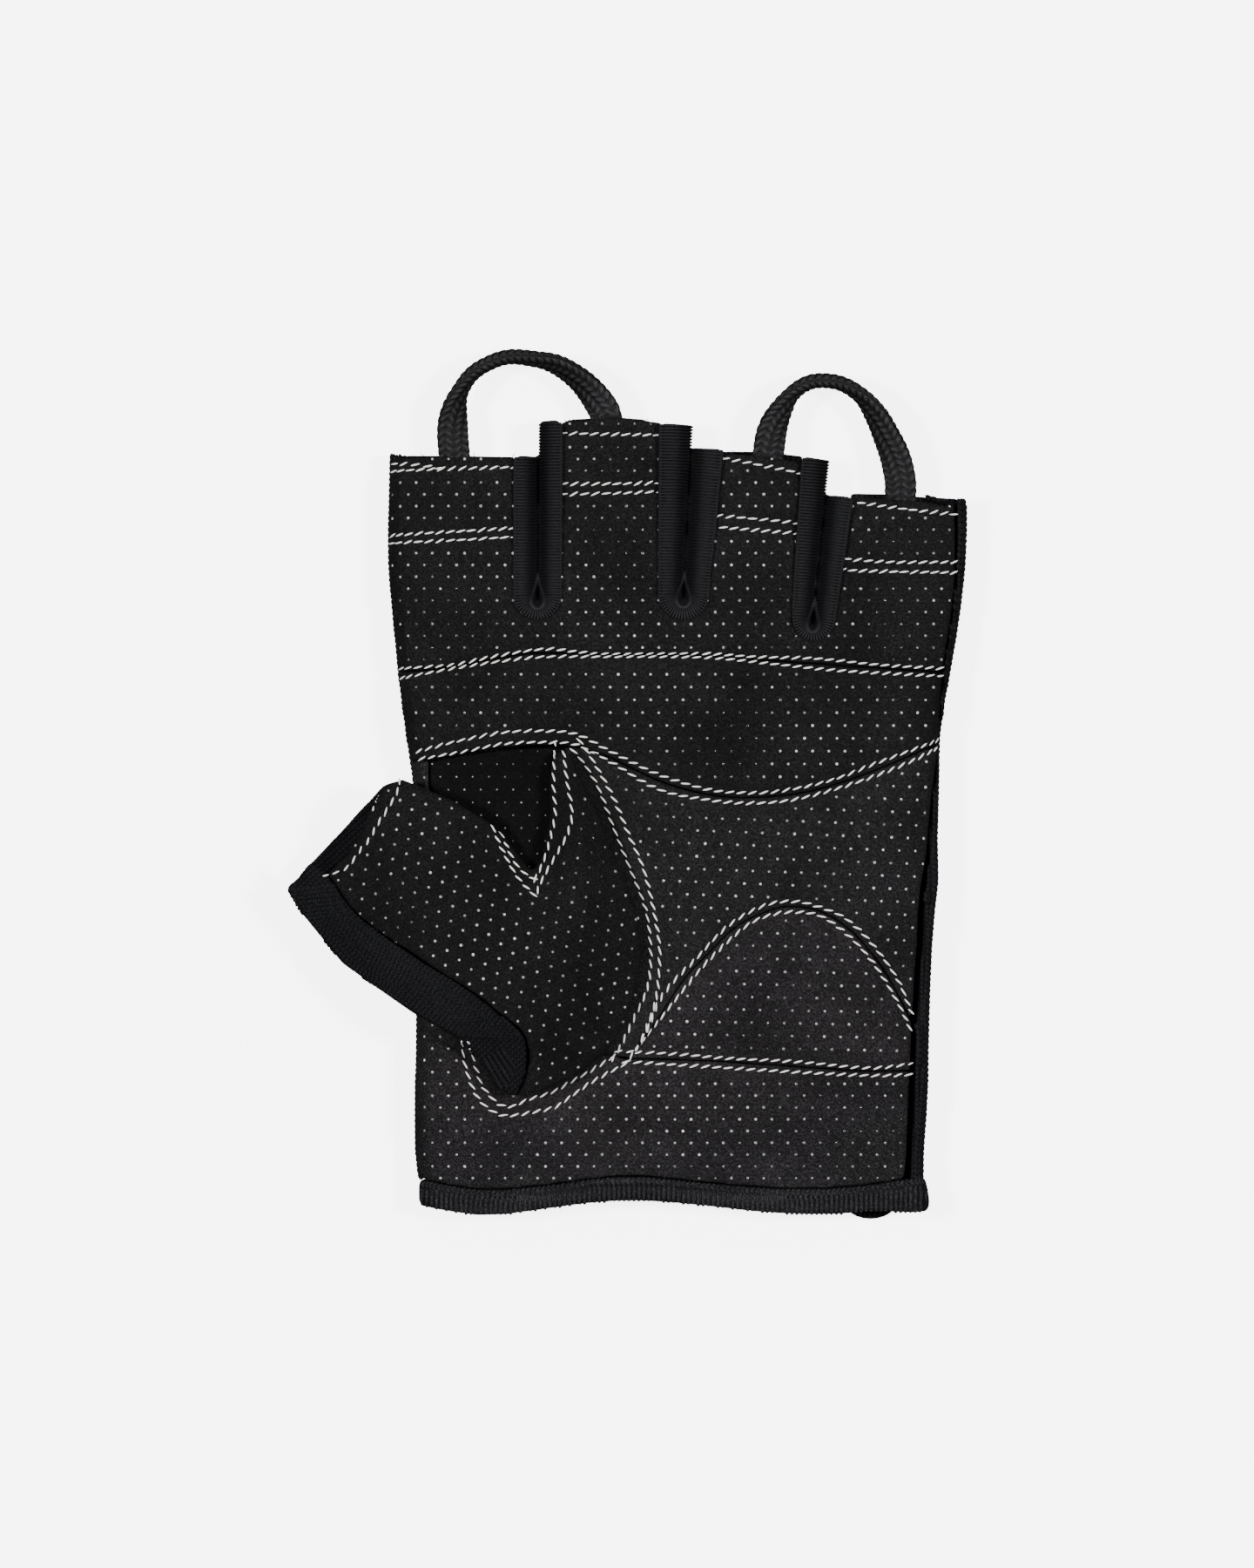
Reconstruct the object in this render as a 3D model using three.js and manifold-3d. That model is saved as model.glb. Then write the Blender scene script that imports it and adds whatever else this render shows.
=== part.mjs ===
// A fingerless weightlifting glove for the left hand, lying flat with its palm up.
// Millimetres. +X runs from the index finger to the little finger, +Y from the wrist to the
// fingers, +Z up out of the palm. The origin is under the middle of the glove's box.
import * as THREE from "three";
import { mergeVertices } from "three/addons/utils/BufferGeometryUtils.js";
import Module from "manifold-3d";

const wasm = await Module();
wasm.setup();

// Driving sizes
const BODY_WIDTH = 103.2; // side to side across the finger roots
const BODY_LENGTH = 135; // wrist seam to the end of the middle finger
const HAND_HEIGHT = 11; // back to palm at the middle of the hand
const SIDE_ROUND = 5; // how far in from the side the cloth turns over
const PALM_WALL = 1.8; // dotted palm cloth with its thin foam
const BACK_WALL = 1.5; // knit back
const FULL_PAD = 0.16; // share of the length at which a pad has its full crown
const PAD_RISE = 1.4; // crown of the knuckle pad and of the heel pad
const SEAM_GAP = 0.3; // between two pieces that are sewn together

const SLIT_WIDTH = 8; // across a finger slit, between the edges of the palm cloth
const TAPE_WALL = 1.3; // ribbed tape that lines a slit
const TAPE_PROUD = 0.5; // how far the tape stands over the palm
const VALLEY_GAP = 0.4; // between the two legs of a lining

const THUMB_HEIGHT = 9.2; // thickness of the thumb stall
const THUMB_WALL = 1.4;
const THUMB_REST = 5; // height of the stall's mouth over the surface it lies on
const THUMB_CLEAR = 0.4; // between the stall and the palm that it lies on
const FOLD_REACH = 4.5; // how far in from a folded edge the stall has its full thickness
const FOLD_SHARE = 0.5; // its share of that thickness at the edge
const SEWN_REACH = 9; // the same two at a sewn edge
const SEWN_SHARE = 0.3;
const FLOOR_LINING = 1.6; // thickness of the knit under the stall
const GUSSET_WALL = 1.3;
const GUSSET_DIP = 0.9; // how far the gusset sinks under the palm

const BINDING_WIDTH = 4.6; // along the hand
const BINDING_WALL = 2.3;
const BINDING_PROUD = 0.7; // how far it stands over the cloth that it binds

const LOOP_WIDTH = 5.9; // flat braid
const LOOP_THICK = 2.3;
const LOOP_TUCK = 3; // length of braid that is sewn in under the palm cloth
const LOOP_SQUARENESS = 0.5; // of its section: 1 is an ellipse, 0 a rectangle

const TAB_WIDTH = 6.2;
const TAB_LENGTH = 5.4;
const TAB_THICK = 1.4;

// A table of named columns, one row for each section, fold or piece.
const table = (columns, ...rows) =>
  rows.map((row) => Object.fromEntries(columns.split(" ").map((name, i) => [name, row[i]])));

// The sides of the hand from wrist to fingers: shares of the length, the width and the height.
const SIDES = table(
  "along left right height",
  [-0.06, -0.444, 0.425, 0.86],
  [-0.02, -0.448, 0.417, 0.87],
  [0.02, -0.454, 0.4155, 0.88],
  [0.107, -0.455, 0.423, 0.92],
  [0.199, -0.453, 0.425, 0.96],
  [0.328, -0.455, 0.432, 1],
  [0.428, -0.456, 0.446, 1],
  [0.52, -0.458, 0.45, 1],
  [0.566, -0.468, 0.451, 1],
  [0.635, -0.48, 0.462, 0.98],
  [0.727, -0.492, 0.483, 0.95],
  [0.819, -0.502, 0.497, 0.92],
  [0.91, -0.5, 0.499, 0.9],
  [1.04, -0.495, 0.499, 0.88],
);

// The palm cloth's right edge, where the knit back comes round the side to meet it.
const PALM_RIGHT = table(
  "across along",
  [0.386, -0.06],
  [0.392, 0],
  [0.399, 0.148],
  [0.404, 0.231],
  [0.412, 0.319],
  [0.415, 0.371],
  [0.428, 0.43],
  [0.434, 0.493],
  [0.446, 0.557],
  [0.454, 0.661],
  [0.463, 0.707],
  [0.472, 0.755],
  [0.477, 0.804],
  [0.477, 0.9],
);

// The ends of the four fingers: where each begins and ends across, and how far its palm
// layer and its back layer reach at its first side, middle and last side.
const FINGERS = table(
  "from to palm1 palm2 palm3 back1 back2 back3",
  [-0.56, -0.243, 0.949, 0.951, 0.949, 0.955, 0.957, 0.953],
  [-0.243, 0.024, 0.993, 1.004, 0.991, 1, 1.009, 0.995],
  [0.024, 0.266, 0.959, 0.952, 0.938, 0.963, 0.962, 0.953],
  [0.266, 0.56, 0.901, 0.893, 0.885, 0.908, 0.903, 0.893],
);

// The three slits: the round end's centre and the mouth's, half widths as shares of
// SLIT_WIDTH, and how far the lining's two legs reach.
const SLITS = table(
  "name tipAcross tipAlong mouthAcross mouthAlong tipHalf mouthHalf leftEnd rightEnd",
  ["index", -0.243, 0.768, -0.242, 0.979, 0.5, 0.5, 0.953, 1],
  ["middle", 0.009, 0.77, 0.0225, 0.968, 0.53, 0.68, 0.994, 0.964],
  ["ring", 0.233, 0.737, 0.26, 0.934, 0.45, 0.58, 0.948, 0.902],
);

// The wrist seam.
const HEM = table(
  "across along",
  [-0.52, 0.002],
  [-0.45, -0.001],
  [-0.336, -0.014],
  [-0.23, -0.008],
  [-0.129, 0.002],
  [-0.062, 0.0035],
  [0.0315, -0.0035],
  [0.161, -0.0115],
  [0.29, -0.0105],
  [0.398, 0],
  [0.52, 0.002],
);

// The seams across the palm: under the fingers, over the thumb, round the heel pad, below it.
const UNDER_FINGERS = table(
  "across along",
  [-0.55, 0.664],
  [-0.486, 0.667],
  [-0.393, 0.674],
  [-0.306, 0.687],
  [-0.23, 0.693],
  [-0.118, 0.69],
  [0.038, 0.69],
  [0.134, 0.684],
  [0.345, 0.673],
  [0.46, 0.667],
  [0.55, 0.664],
);
const OVER_THUMB = table(
  "across along",
  [-0.55, 0.54],
  [-0.464, 0.548],
  [-0.375, 0.56],
  [-0.303, 0.568],
  [-0.23, 0.571],
  [-0.186, 0.569],
  [-0.15, 0.564],
  [-0.118, 0.555],
  [-0.034, 0.524],
  [0.05, 0.506],
  [0.119, 0.502],
  [0.206, 0.507],
  [0.282, 0.522],
  [0.366, 0.546],
  [0.452, 0.574],
  [0.55, 0.6],
);
const ROUND_HEEL = table(
  "across along",
  [-0.077, 0.165],
  [-0.04, 0.204],
  [0.008, 0.261],
  [0.05, 0.295],
  [0.096, 0.33],
  [0.14, 0.348],
  [0.182, 0.358],
  [0.227, 0.356],
  [0.269, 0.343],
  [0.312, 0.316],
  [0.356, 0.273],
  [0.4, 0.21],
  [0.44, 0.145],
);
const UNDER_HEEL = table(
  "across along",
  [-0.105, 0.158],
  [0.012, 0.156],
  [0.108, 0.152],
  [0.204, 0.147],
  [0.324, 0.141],
  [0.4, 0.142],
  [0.55, 0.142],
);

// The hole in the palm that the thumb stall comes out of: along the seam over the thumb, down
// the side of the palm panel, round the base, and back up under the stall.
const THUMB_HOLE = table(
  "across along",
  [-0.431, 0.553],
  [-0.375, 0.56],
  [-0.303, 0.568],
  [-0.23, 0.571],
  [-0.198, 0.57],
  [-0.186, 0.532],
  [-0.155, 0.474],
  [-0.122, 0.417],
  [-0.095, 0.362],
  [-0.083, 0.303],
  [-0.086, 0.274],
  [-0.101, 0.231],
  [-0.128, 0.187],
  [-0.164, 0.166],
  [-0.209, 0.143],
  [-0.26, 0.127],
  [-0.294, 0.121],
  [-0.32, 0.134],
  [-0.335, 0.176],
  [-0.351, 0.268],
  [-0.366, 0.359],
  [-0.377, 0.422],
  [-0.411, 0.48],
  [-0.431, 0.514],
);

// The gusset: a kite that fills the hole's upper corner, tucked under the stall's edge.
const GUSSET = table(
  "across along",
  [-0.427, 0.549],
  [-0.375, 0.556],
  [-0.303, 0.564],
  [-0.23, 0.567],
  [-0.204, 0.566],
  [-0.204, 0.514],
  [-0.205, 0.478],
  [-0.213, 0.449],
  [-0.23, 0.415],
  [-0.249, 0.384],
  [-0.28, 0.405],
  [-0.314, 0.442],
  [-0.36, 0.462],
  [-0.405, 0.487],
  [-0.427, 0.516],
);

// The thumb stall's outline from the upper end of its mouth to the lower end. Its free edges
// turn over, and the others are sewn down: to the gusset's two sides, the palm and the wrist.
const STALL_FOLD = table(
  "across along",
  [-0.509, 0.518],
  [-0.474, 0.525],
  [-0.437, 0.514],
  [-0.387, 0.497],
  [-0.329, 0.471],
  [-0.294, 0.445],
);
const STALL_SEWN = table(
  "across along",
  [-0.294, 0.445],
  [-0.269, 0.419],
  [-0.251, 0.402],
  [-0.234, 0.422],
  [-0.224, 0.457],
  [-0.219, 0.486],
  [-0.221, 0.52],
  [-0.215, 0.559],
  [-0.188, 0.562],
  [-0.173, 0.537],
  [-0.143, 0.491],
  [-0.107, 0.422],
  [-0.075, 0.359],
  [-0.063, 0.302],
  [-0.068, 0.268],
  [-0.083, 0.224],
  [-0.11, 0.18],
  [-0.134, 0.162],
  [-0.179, 0.134],
  [-0.231, 0.118],
  [-0.284, 0.109],
  [-0.314, 0.121],
  [-0.335, 0.15],
);
const STALL_UNDER = table(
  "across along",
  [-0.335, 0.15],
  [-0.38, 0.187],
  [-0.459, 0.222],
  [-0.515, 0.251],
  [-0.578, 0.284],
  [-0.607, 0.311],
  [-0.65, 0.351],
  [-0.676, 0.382],
);
const STALL_ROOT = { across: -0.086, along: 0.187 }; // the stall is lowest here
const ROOT_HEIGHT = 0.4; // share of THUMB_HEIGHT there
const ROOT_REACH = 0.23; // share of BODY_LENGTH over which it rises

// The edge between the stall's dotted cloth and its knit, from the mouth to the root.
const KNIT_EDGE = table(
  "across along",
  [-0.66, 0.44],
  [-0.599, 0.394],
  [-0.565, 0.357],
  [-0.52, 0.327],
  [-0.468, 0.302],
  [-0.41, 0.273],
  [-0.347, 0.243],
  [-0.303, 0.215],
  [-0.268, 0.193],
  [-0.259, 0.16],
  [-0.27, 0.124],
  [-0.3, 0.09],
);

// The dotted cloth's edge at the stall's mouth, behind which the knit reaches further.
const STALL_HEM = table(
  "across along",
  [-0.488, 0.6],
  [-0.495, 0.532],
  [-0.509, 0.514],
  [-0.532, 0.48],
  [-0.554, 0.445],
  [-0.581, 0.417],
  [-0.607, 0.4],
  [-0.66, 0.36],
);

// Where the stall leaves the hand: past here it has no floor of its own.
const STALL_FLOOR = table("across along", [-0.41, 0.62], [-0.39, 0.44], [-0.365, 0.3], [-0.35, 0.06]);

// How the stall's underside comes down from the palm to the surface past the hand's side.
const DROOP = { low: -0.63, high: -0.41 };

// The pull loops: the middle line of each, and how far the braid has turned on its edge, from
// 0 where it is sewn in flat to 1 where it stands on its edge.
const LOOPS = {
  index: table(
    "across along turn",
    [-0.388, 0.952, 0],
    [-0.39, 0.986, 0.15],
    [-0.387, 1.015, 0.5],
    [-0.379, 1.038, 0.8],
    [-0.359, 1.061, 0.95],
    [-0.331, 1.0755, 1],
    [-0.294, 1.0845, 1],
    [-0.252, 1.083, 0.9],
    [-0.211, 1.075, 0.72],
    [-0.171, 1.055, 0.55],
    [-0.143, 1.031, 0.3],
    [-0.125, 1.007, 0],
  ),
  ring: table(
    "across along turn",
    [0.156, 0.958, 0],
    [0.163, 0.991, 0.3],
    [0.181, 1.02, 0.65],
    [0.203, 1.04, 0.9],
    [0.235, 1.053, 1],
    [0.279, 1.051, 1],
    [0.317, 1.033, 0.85],
    [0.343, 1.008, 0.62],
    [0.361, 0.98, 0.45],
    [0.376, 0.953, 0.25],
    [0.384, 0.922, 0],
    [0.384, 0.9, 0],
  ),
};
const TAB_ACROSS = 0.329; // middle of the tab, a share of BODY_WIDTH

// Mesh steps
const ROWS = 24;
const TOP_STEPS = 16;
const SIDE_STEPS = 5;
const STALL_STEP = 3.4; // mm
const GUSSET_STEP = 4; // mm
const TURN_STEPS = 8; // round the end of a slit
const LEG_STEPS = 6; // along one leg of a lining
const TAPE_STEPS = 5; // across its tape
const LOOP_STEPS = 24;
const LOOP_SIDES = 8;
const TAB_STEPS = 12;
const FAR = 3 * (BODY_WIDTH + BODY_LENGTH); // past everything
const THINNEST = 0.05; // a sheet's least thickness

// Cloths: colour, roughness and metalness
const cloth = (color, roughness) =>
  new THREE.MeshStandardMaterial({ color, roughness, metalness: 0 });
const dottedCloth = cloth(0x2b2a2b, 0.62);
const knit = cloth(0x1c1c1e, 0.95);
const ribbedTape = cloth(0x18181a, 0.85);
const bindingKnit = cloth(0x29292b, 0.95);
const braid = cloth(0x1b1b1c, 0.9);

// Helpers for plan points and curves

const place = (row) => new THREE.Vector2(row.across * BODY_WIDTH, row.along * BODY_LENGTH);
const curve = (rows, steps) => new THREE.SplineCurve(rows.map(place)).getPoints(steps);
const corner = (across, along) => place({ across, along });
const clamp01 = (t) => THREE.MathUtils.clamp(t, 0, 1);
const mix = THREE.MathUtils.lerp;

// Moves each point of a line sideways, to the left of its run.
function shift(points, distance) {
  return points.map((point, i) => {
    const before = points[Math.max(i - 1, 0)];
    const after = points[Math.min(i + 1, points.length - 1)];
    const run = after.clone().sub(before).normalize();
    return new THREE.Vector2(point.x - run.y * distance, point.y + run.x * distance);
  });
}

// A smooth function of one column of a table over another.
function smooth(rows, key, column) {
  const slope = (i) => {
    const a = rows[Math.max(i - 1, 0)];
    const b = rows[Math.min(i + 1, rows.length - 1)];
    return (b[column] - a[column]) / (b[key] - a[key]);
  };
  return (at) => {
    const last = rows.length - 2;
    const found = rows.findIndex((row, i) => i <= last && at <= rows[i + 1][key]);
    const i = found < 0 ? last : found;
    const span = rows[i + 1][key] - rows[i][key];
    const t = clamp01((at - rows[i][key]) / span);
    const bend = t * t * (3 - 2 * t);
    const start = t * (1 - t) * (1 - t) * span * slope(i);
    const end = t * t * (t - 1) * span * slope(i + 1);
    return mix(rows[i][column], rows[i + 1][column], bend) + start + end;
  };
}

// Helpers for solids

function solid(geometry) {
  const bare = geometry.clone();
  bare.deleteAttribute("normal");
  bare.deleteAttribute("uv");
  const merged = mergeVertices(bare, 1e-4);
  const numbers = {
    numProp: 3,
    vertProperties: new Float32Array(merged.attributes.position.array),
    triVerts: new Uint32Array(merged.index.array),
  };
  return new wasm.Manifold(new wasm.Mesh(numbers));
}

// An upright block over a plan outline.
function block(outline, low, high) {
  const options = { depth: high - low, bevelEnabled: false };
  return solid(new THREE.ExtrudeGeometry(new THREE.Shape(outline), options).translate(0, 0, low));
}

// A closed skin over rings of the same number of points, with both ends closed. A hollow ring
// gives its own flat section, and a plain one is closed as a circle is. A looped skin has no
// ends: its last ring joins its first.
function loft(rings, hollowSection = null, looped = false) {
  const around = rings[0].length;
  const circle = rings[0].map((_, i) => {
    const turn = (2 * Math.PI * i) / around;
    return new THREE.Vector2(Math.cos(turn), Math.sin(turn));
  });
  const section = hollowSection ?? circle;
  const last = (rings.length - 1) * around;
  const faces = [];
  for (let i = 0; i < rings.length - (looped ? 0 : 1); i += 1) {
    const next = ((i + 1) % rings.length) * around;
    for (let j = 0; j < around; j += 1) {
      const here = i * around;
      const k = (j + 1) % around;
      faces.push(here + j, here + k, next + j, here + k, next + k, next + j);
    }
  }
  const ends = looped ? [] : THREE.ShapeUtils.triangulateShape(section, []);
  for (const [a, b, c] of ends) {
    faces.push(c, b, a, last + a, last + b, last + c);
  }
  const points = rings.flat();
  const volume = faces.reduce((sum, _, i) => {
    if (i % 3) return sum;
    const [a, b, c] = [0, 1, 2].map((k) => points[faces[i + k]]);
    return sum + a.dot(b.clone().cross(c));
  }, 0);
  if (volume < 0) faces.reverse();
  const geometry = new THREE.BufferGeometry().setFromPoints(points);
  geometry.setIndex(faces);
  return solid(geometry);
}

// A cut can leave crumbs where two seams meet: the piece is the largest body.
const mainBody = (shape) => shape.decompose().sort((a, b) => b.volume() - a.volume())[0];

const glove = new THREE.Group();

function add(name, shape, material) {
  const { numProp, vertProperties, triVerts } = shape.getMesh();
  const points = new Float32Array((vertProperties.length / numProp) * 3);
  for (let i = 0; i < points.length / 3; i += 1) {
    points.set(vertProperties.subarray(i * numProp, i * numProp + 3), i * 3);
  }
  const geometry = new THREE.BufferGeometry();
  geometry.setAttribute("position", new THREE.BufferAttribute(points, 3));
  geometry.setIndex(new THREE.BufferAttribute(new Uint32Array(triVerts), 1));
  geometry.computeVertexNormals();
  const mesh = new THREE.Mesh(geometry, material);
  mesh.name = name;
  glove.add(mesh);
}

// The hand's form

const leftAt = smooth(SIDES, "along", "left");
const rightAt = smooth(SIDES, "along", "right");
const heightAt = smooth(SIDES, "along", "height");
const hemAt = smooth(HEM, "across", "along");
const fingerSeamAt = smooth(UNDER_FINGERS, "across", "along");
const thumbSeamAt = smooth(OVER_THUMB, "across", "along");
const heelTopAt = smooth(ROUND_HEEL, "across", "along");
const heelFootAt = smooth(UNDER_HEEL, "across", "along");

// The crown of a pad between its lower and its upper seam, lower where the pad is narrow.
function padCrown(along, foot, top) {
  if (along <= foot || along >= top) return 0;
  return Math.sin((Math.PI * (along - foot)) / (top - foot)) * clamp01((top - foot) / FULL_PAD);
}

// Height of the palm's surface.
function palmTop(x, y) {
  const across = x / BODY_WIDTH;
  const along = y / BODY_LENGTH;
  const knuckles = padCrown(along, thumbSeamAt(across), fingerSeamAt(across));
  const inHeel = across > ROUND_HEEL[0].across;
  const heel = inHeel ? padCrown(along, heelFootAt(across), heelTopAt(across)) : 0;
  return HAND_HEIGHT * heightAt(along) + PAD_RISE * Math.max(knuckles, heel);
}

// A flat-bottomed ring across the hand: floor, right side, palm, left side. The insets move it
// in from the outer form, and follow gives each point its place along the hand.
function handRing(along, inset, follow = () => along, floorSteps = 1) {
  const left = leftAt(along) * BODY_WIDTH + inset.side;
  const right = rightAt(along) * BODY_WIDTH - inset.side;
  const round = Math.max(SIDE_ROUND - inset.side, 1);
  const flat = [];
  for (let i = 0; i < SIDE_STEPS; i += 1) {
    const turn = (Math.PI * i) / SIDE_STEPS - Math.PI / 2;
    flat.push([right - round + round * Math.cos(turn), 0.5 + 0.5 * Math.sin(turn)]);
  }
  for (let i = 0; i <= TOP_STEPS; i += 1) {
    flat.push([mix(right - round, left + round, i / TOP_STEPS), 1]);
  }
  for (let i = 1; i <= SIDE_STEPS; i += 1) {
    const turn = Math.PI / 2 + (Math.PI * i) / SIDE_STEPS;
    flat.push([left + round + round * Math.cos(turn), 0.5 + 0.5 * Math.sin(turn)]);
  }
  for (let i = 1; i < floorSteps; i += 1) {
    flat.push([mix(left + round, right - round, i / floorSteps), 0]);
  }
  return flat.map(([x, rise]) => {
    const y = follow(x / BODY_WIDTH) * BODY_LENGTH;
    const high = palmTop(x, along * BODY_LENGTH) - inset.palm;
    return new THREE.Vector3(x, y, mix(inset.floor, high, rise));
  });
}

function handForm(inset) {
  const first = SIDES[0].along;
  const last = SIDES[SIDES.length - 1].along;
  const ends = inset.side > 0 ? 0.02 : 0; // the hollow runs out past both ends
  const rings = [];
  for (let i = 0; i <= ROWS; i += 1) {
    const along = mix(first, last, i / ROWS);
    const reach = mix(first - ends, last + ends, i / ROWS);
    rings.push(handRing(along, inset, () => reach));
  }
  return loft(rings);
}

const OUTER = { side: 0, palm: 0, floor: 0 };
const INNER = { side: BACK_WALL, palm: PALM_WALL, floor: BACK_WALL };
const handShell = handForm(OUTER).subtract(handForm(INNER));

// Plan outlines

const wristLine = Array.from({ length: 41 }, (_, i) => {
  const across = mix(HEM[0].across, HEM[HEM.length - 1].across, i / 40);
  return corner(across, hemAt(across));
});
const palmRight = curve(PALM_RIGHT, 20);

// The line over the fingers' ends, from the little finger to the index finger.
function fingerEnds(layer) {
  const line = FINGERS.flatMap((finger) => {
    const middle = (finger.from + finger.to) / 2;
    const reach = [1, 2, 3].map((i) => finger[layer + i]);
    return [corner(finger.from, reach[0]), corner(middle, reach[1]), corner(finger.to, reach[2])];
  });
  return line.reverse();
}

function slitParts(slit) {
  const tip = corner(slit.tipAcross, slit.tipAlong);
  const mouth = corner(slit.mouthAcross, slit.mouthAlong);
  const run = mouth.clone().sub(tip);
  const side = new THREE.Vector2(run.y, -run.x).normalize();
  const tipHalf = slit.tipHalf * SLIT_WIDTH;
  const mouthHalf = slit.mouthHalf * SLIT_WIDTH;
  // A pair of points at a share of the slit's run: on its middle line and on its edge.
  const pair = (share, hand) => {
    const middle = tip.clone().addScaledVector(run, share);
    const half = mix(tipHalf, mouthHalf, share);
    return { middle, edge: middle.clone().addScaledVector(side, hand * half), half };
  };
  // The same on the round end, from one side to the other.
  const endPair = (turn) => {
    const out = side.clone().rotateAround(new THREE.Vector2(), turn).multiplyScalar(-tipHalf);
    return { middle: tip, edge: tip.clone().add(out), half: tipHalf };
  };
  const shareOf = (along) => (along * BODY_LENGTH - tip.y) / run.y;
  return { pair, endPair, shareOf };
}

// The opening that a slit leaves in the palm and in the back.
function slitOutline(slit) {
  const { pair, endPair } = slitParts(slit);
  const past = 1.6; // out past the fingers' ends
  const outline = [pair(past, -1).edge, pair(0, -1).edge];
  for (let i = 1; i < TURN_STEPS; i += 1) {
    outline.push(endPair((Math.PI * i) / TURN_STEPS).edge);
  }
  outline.push(pair(0, 1).edge, pair(past, 1).edge);
  return outline;
}

const slitBlocks = SLITS.map((slit) => block(slitOutline(slit), -1, FAR));

// The outline of a layer of the hand. The palm's right side is a seam, and the rest runs out
// past the hand's own sides.
function handOutline(layer, seam) {
  const ends = fingerEnds(layer);
  const far = new THREE.Vector2(FAR, ends[0].y);
  const side = seam.filter((point) => point.y > hemAt(point.x / BODY_WIDTH) * BODY_LENGTH);
  const limit = side.length ? side[0].x : FAR;
  const foot = wristLine.filter((point) => point.x < limit);
  const top = side.length ? side.at(-1).x : FAR;
  const close = side.length ? new THREE.Vector2(top, ends[0].y) : far;
  const over = ends.filter((point) => point.x < top);
  return [...foot, ...side, close, ...over, corner(-1, FINGERS[0][`${layer}1`]), corner(-1, 0)];
}

// Back

const middleHeight = HAND_HEIGHT / 2;
const palmPattern = handOutline("palm", palmRight);
const backPattern = handOutline("back", []);
const palmBlock = block(palmPattern, middleHeight, FAR);
const palmCorners = [corner(0.45, 2), corner(-2, 2), corner(-2, -1), corner(0.3, -1)];
const palmClear = block(
  [...shift(palmRight, -SEAM_GAP), ...palmCorners],
  middleHeight - SEAM_GAP,
  FAR,
);

let back = handShell.intersect(block(backPattern, -1, FAR)).subtract(palmClear);
slitBlocks.forEach((slit) => {
  back = back.subtract(slit);
});
add("back_panel", back, knit);

// Palm panels

let palm = handShell.intersect(palmBlock);
slitBlocks.forEach((slit) => {
  palm = palm.subtract(slit);
});
const holeLine = THUMB_HOLE.map(place);
palm = palm.subtract(block(holeLine, -1, FAR));

// A cut along a seam, as wide as the gap between two panels.
function seamCut(points) {
  const half = SEAM_GAP / 2;
  return block([...shift(points, half), ...shift(points, -half).reverse()], -1, FAR);
}

const fingerSeam = curve(UNDER_FINGERS, 24);
const thumbSeam = curve(OVER_THUMB, 36);
const heelRound = curve(ROUND_HEEL, 26);
const heelFoot = curve(UNDER_HEEL, 12);
[fingerSeam, thumbSeam, heelRound, heelFoot].forEach((line) => {
  palm = palm.subtract(seamCut(line));
});

const north = [corner(1, 2), corner(-1, 2)];
const southEast = corner(1, -1);
const southWest = corner(-1, -1);
const heelMeet = corner(-0.105, 0.16); // where the thumb's seam, the heel's and the foot's meet
const holeBase = corner(-0.164, 0.166);

const panelRegions = {
  finger_panel: [...fingerSeam, ...north],
  knuckle_pad: [...thumbSeam, ...[...fingerSeam].reverse()],
  heel_pad: [...heelFoot, ...[...heelRound].reverse()],
};
const overThumb = block([...thumbSeam, ...north], -1, FAR);
const heelBlock = block(panelRegions.heel_pad, -1, FAR);
const heelSouth = heelMeet.clone().setY(-FAR);
const footBlock = block([...heelFoot, southEast, heelSouth], -1, FAR);
const westLine = [corner(-1, 2), southWest, heelSouth, heelMeet, holeBase];
const westBlock = block([...westLine, corner(-0.3, 0.4), corner(-0.3, 2)], -1, FAR);

add("finger_panel", palm.intersect(block(panelRegions.finger_panel, -1, FAR)), dottedCloth);
add("knuckle_pad", palm.intersect(block(panelRegions.knuckle_pad, -1, FAR)), dottedCloth);
add("heel_pad", palm.intersect(heelBlock), dottedCloth);
const lower = palm.subtract(overThumb).subtract(heelBlock);
const wrist = lower.intersect(footBlock.add(westBlock));
add("wrist_panel", wrist, dottedCloth);
const footCut = seamCut([holeBase, heelMeet, ...heelFoot.slice(1)]);
const middle = lower.subtract(footBlock).subtract(westBlock).subtract(footCut);
add("palm_panel", mainBody(middle), dottedCloth);

// Linings of the finger slits: a ")" of tape that runs down one finger, round the slit's end
// and up the next.

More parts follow.
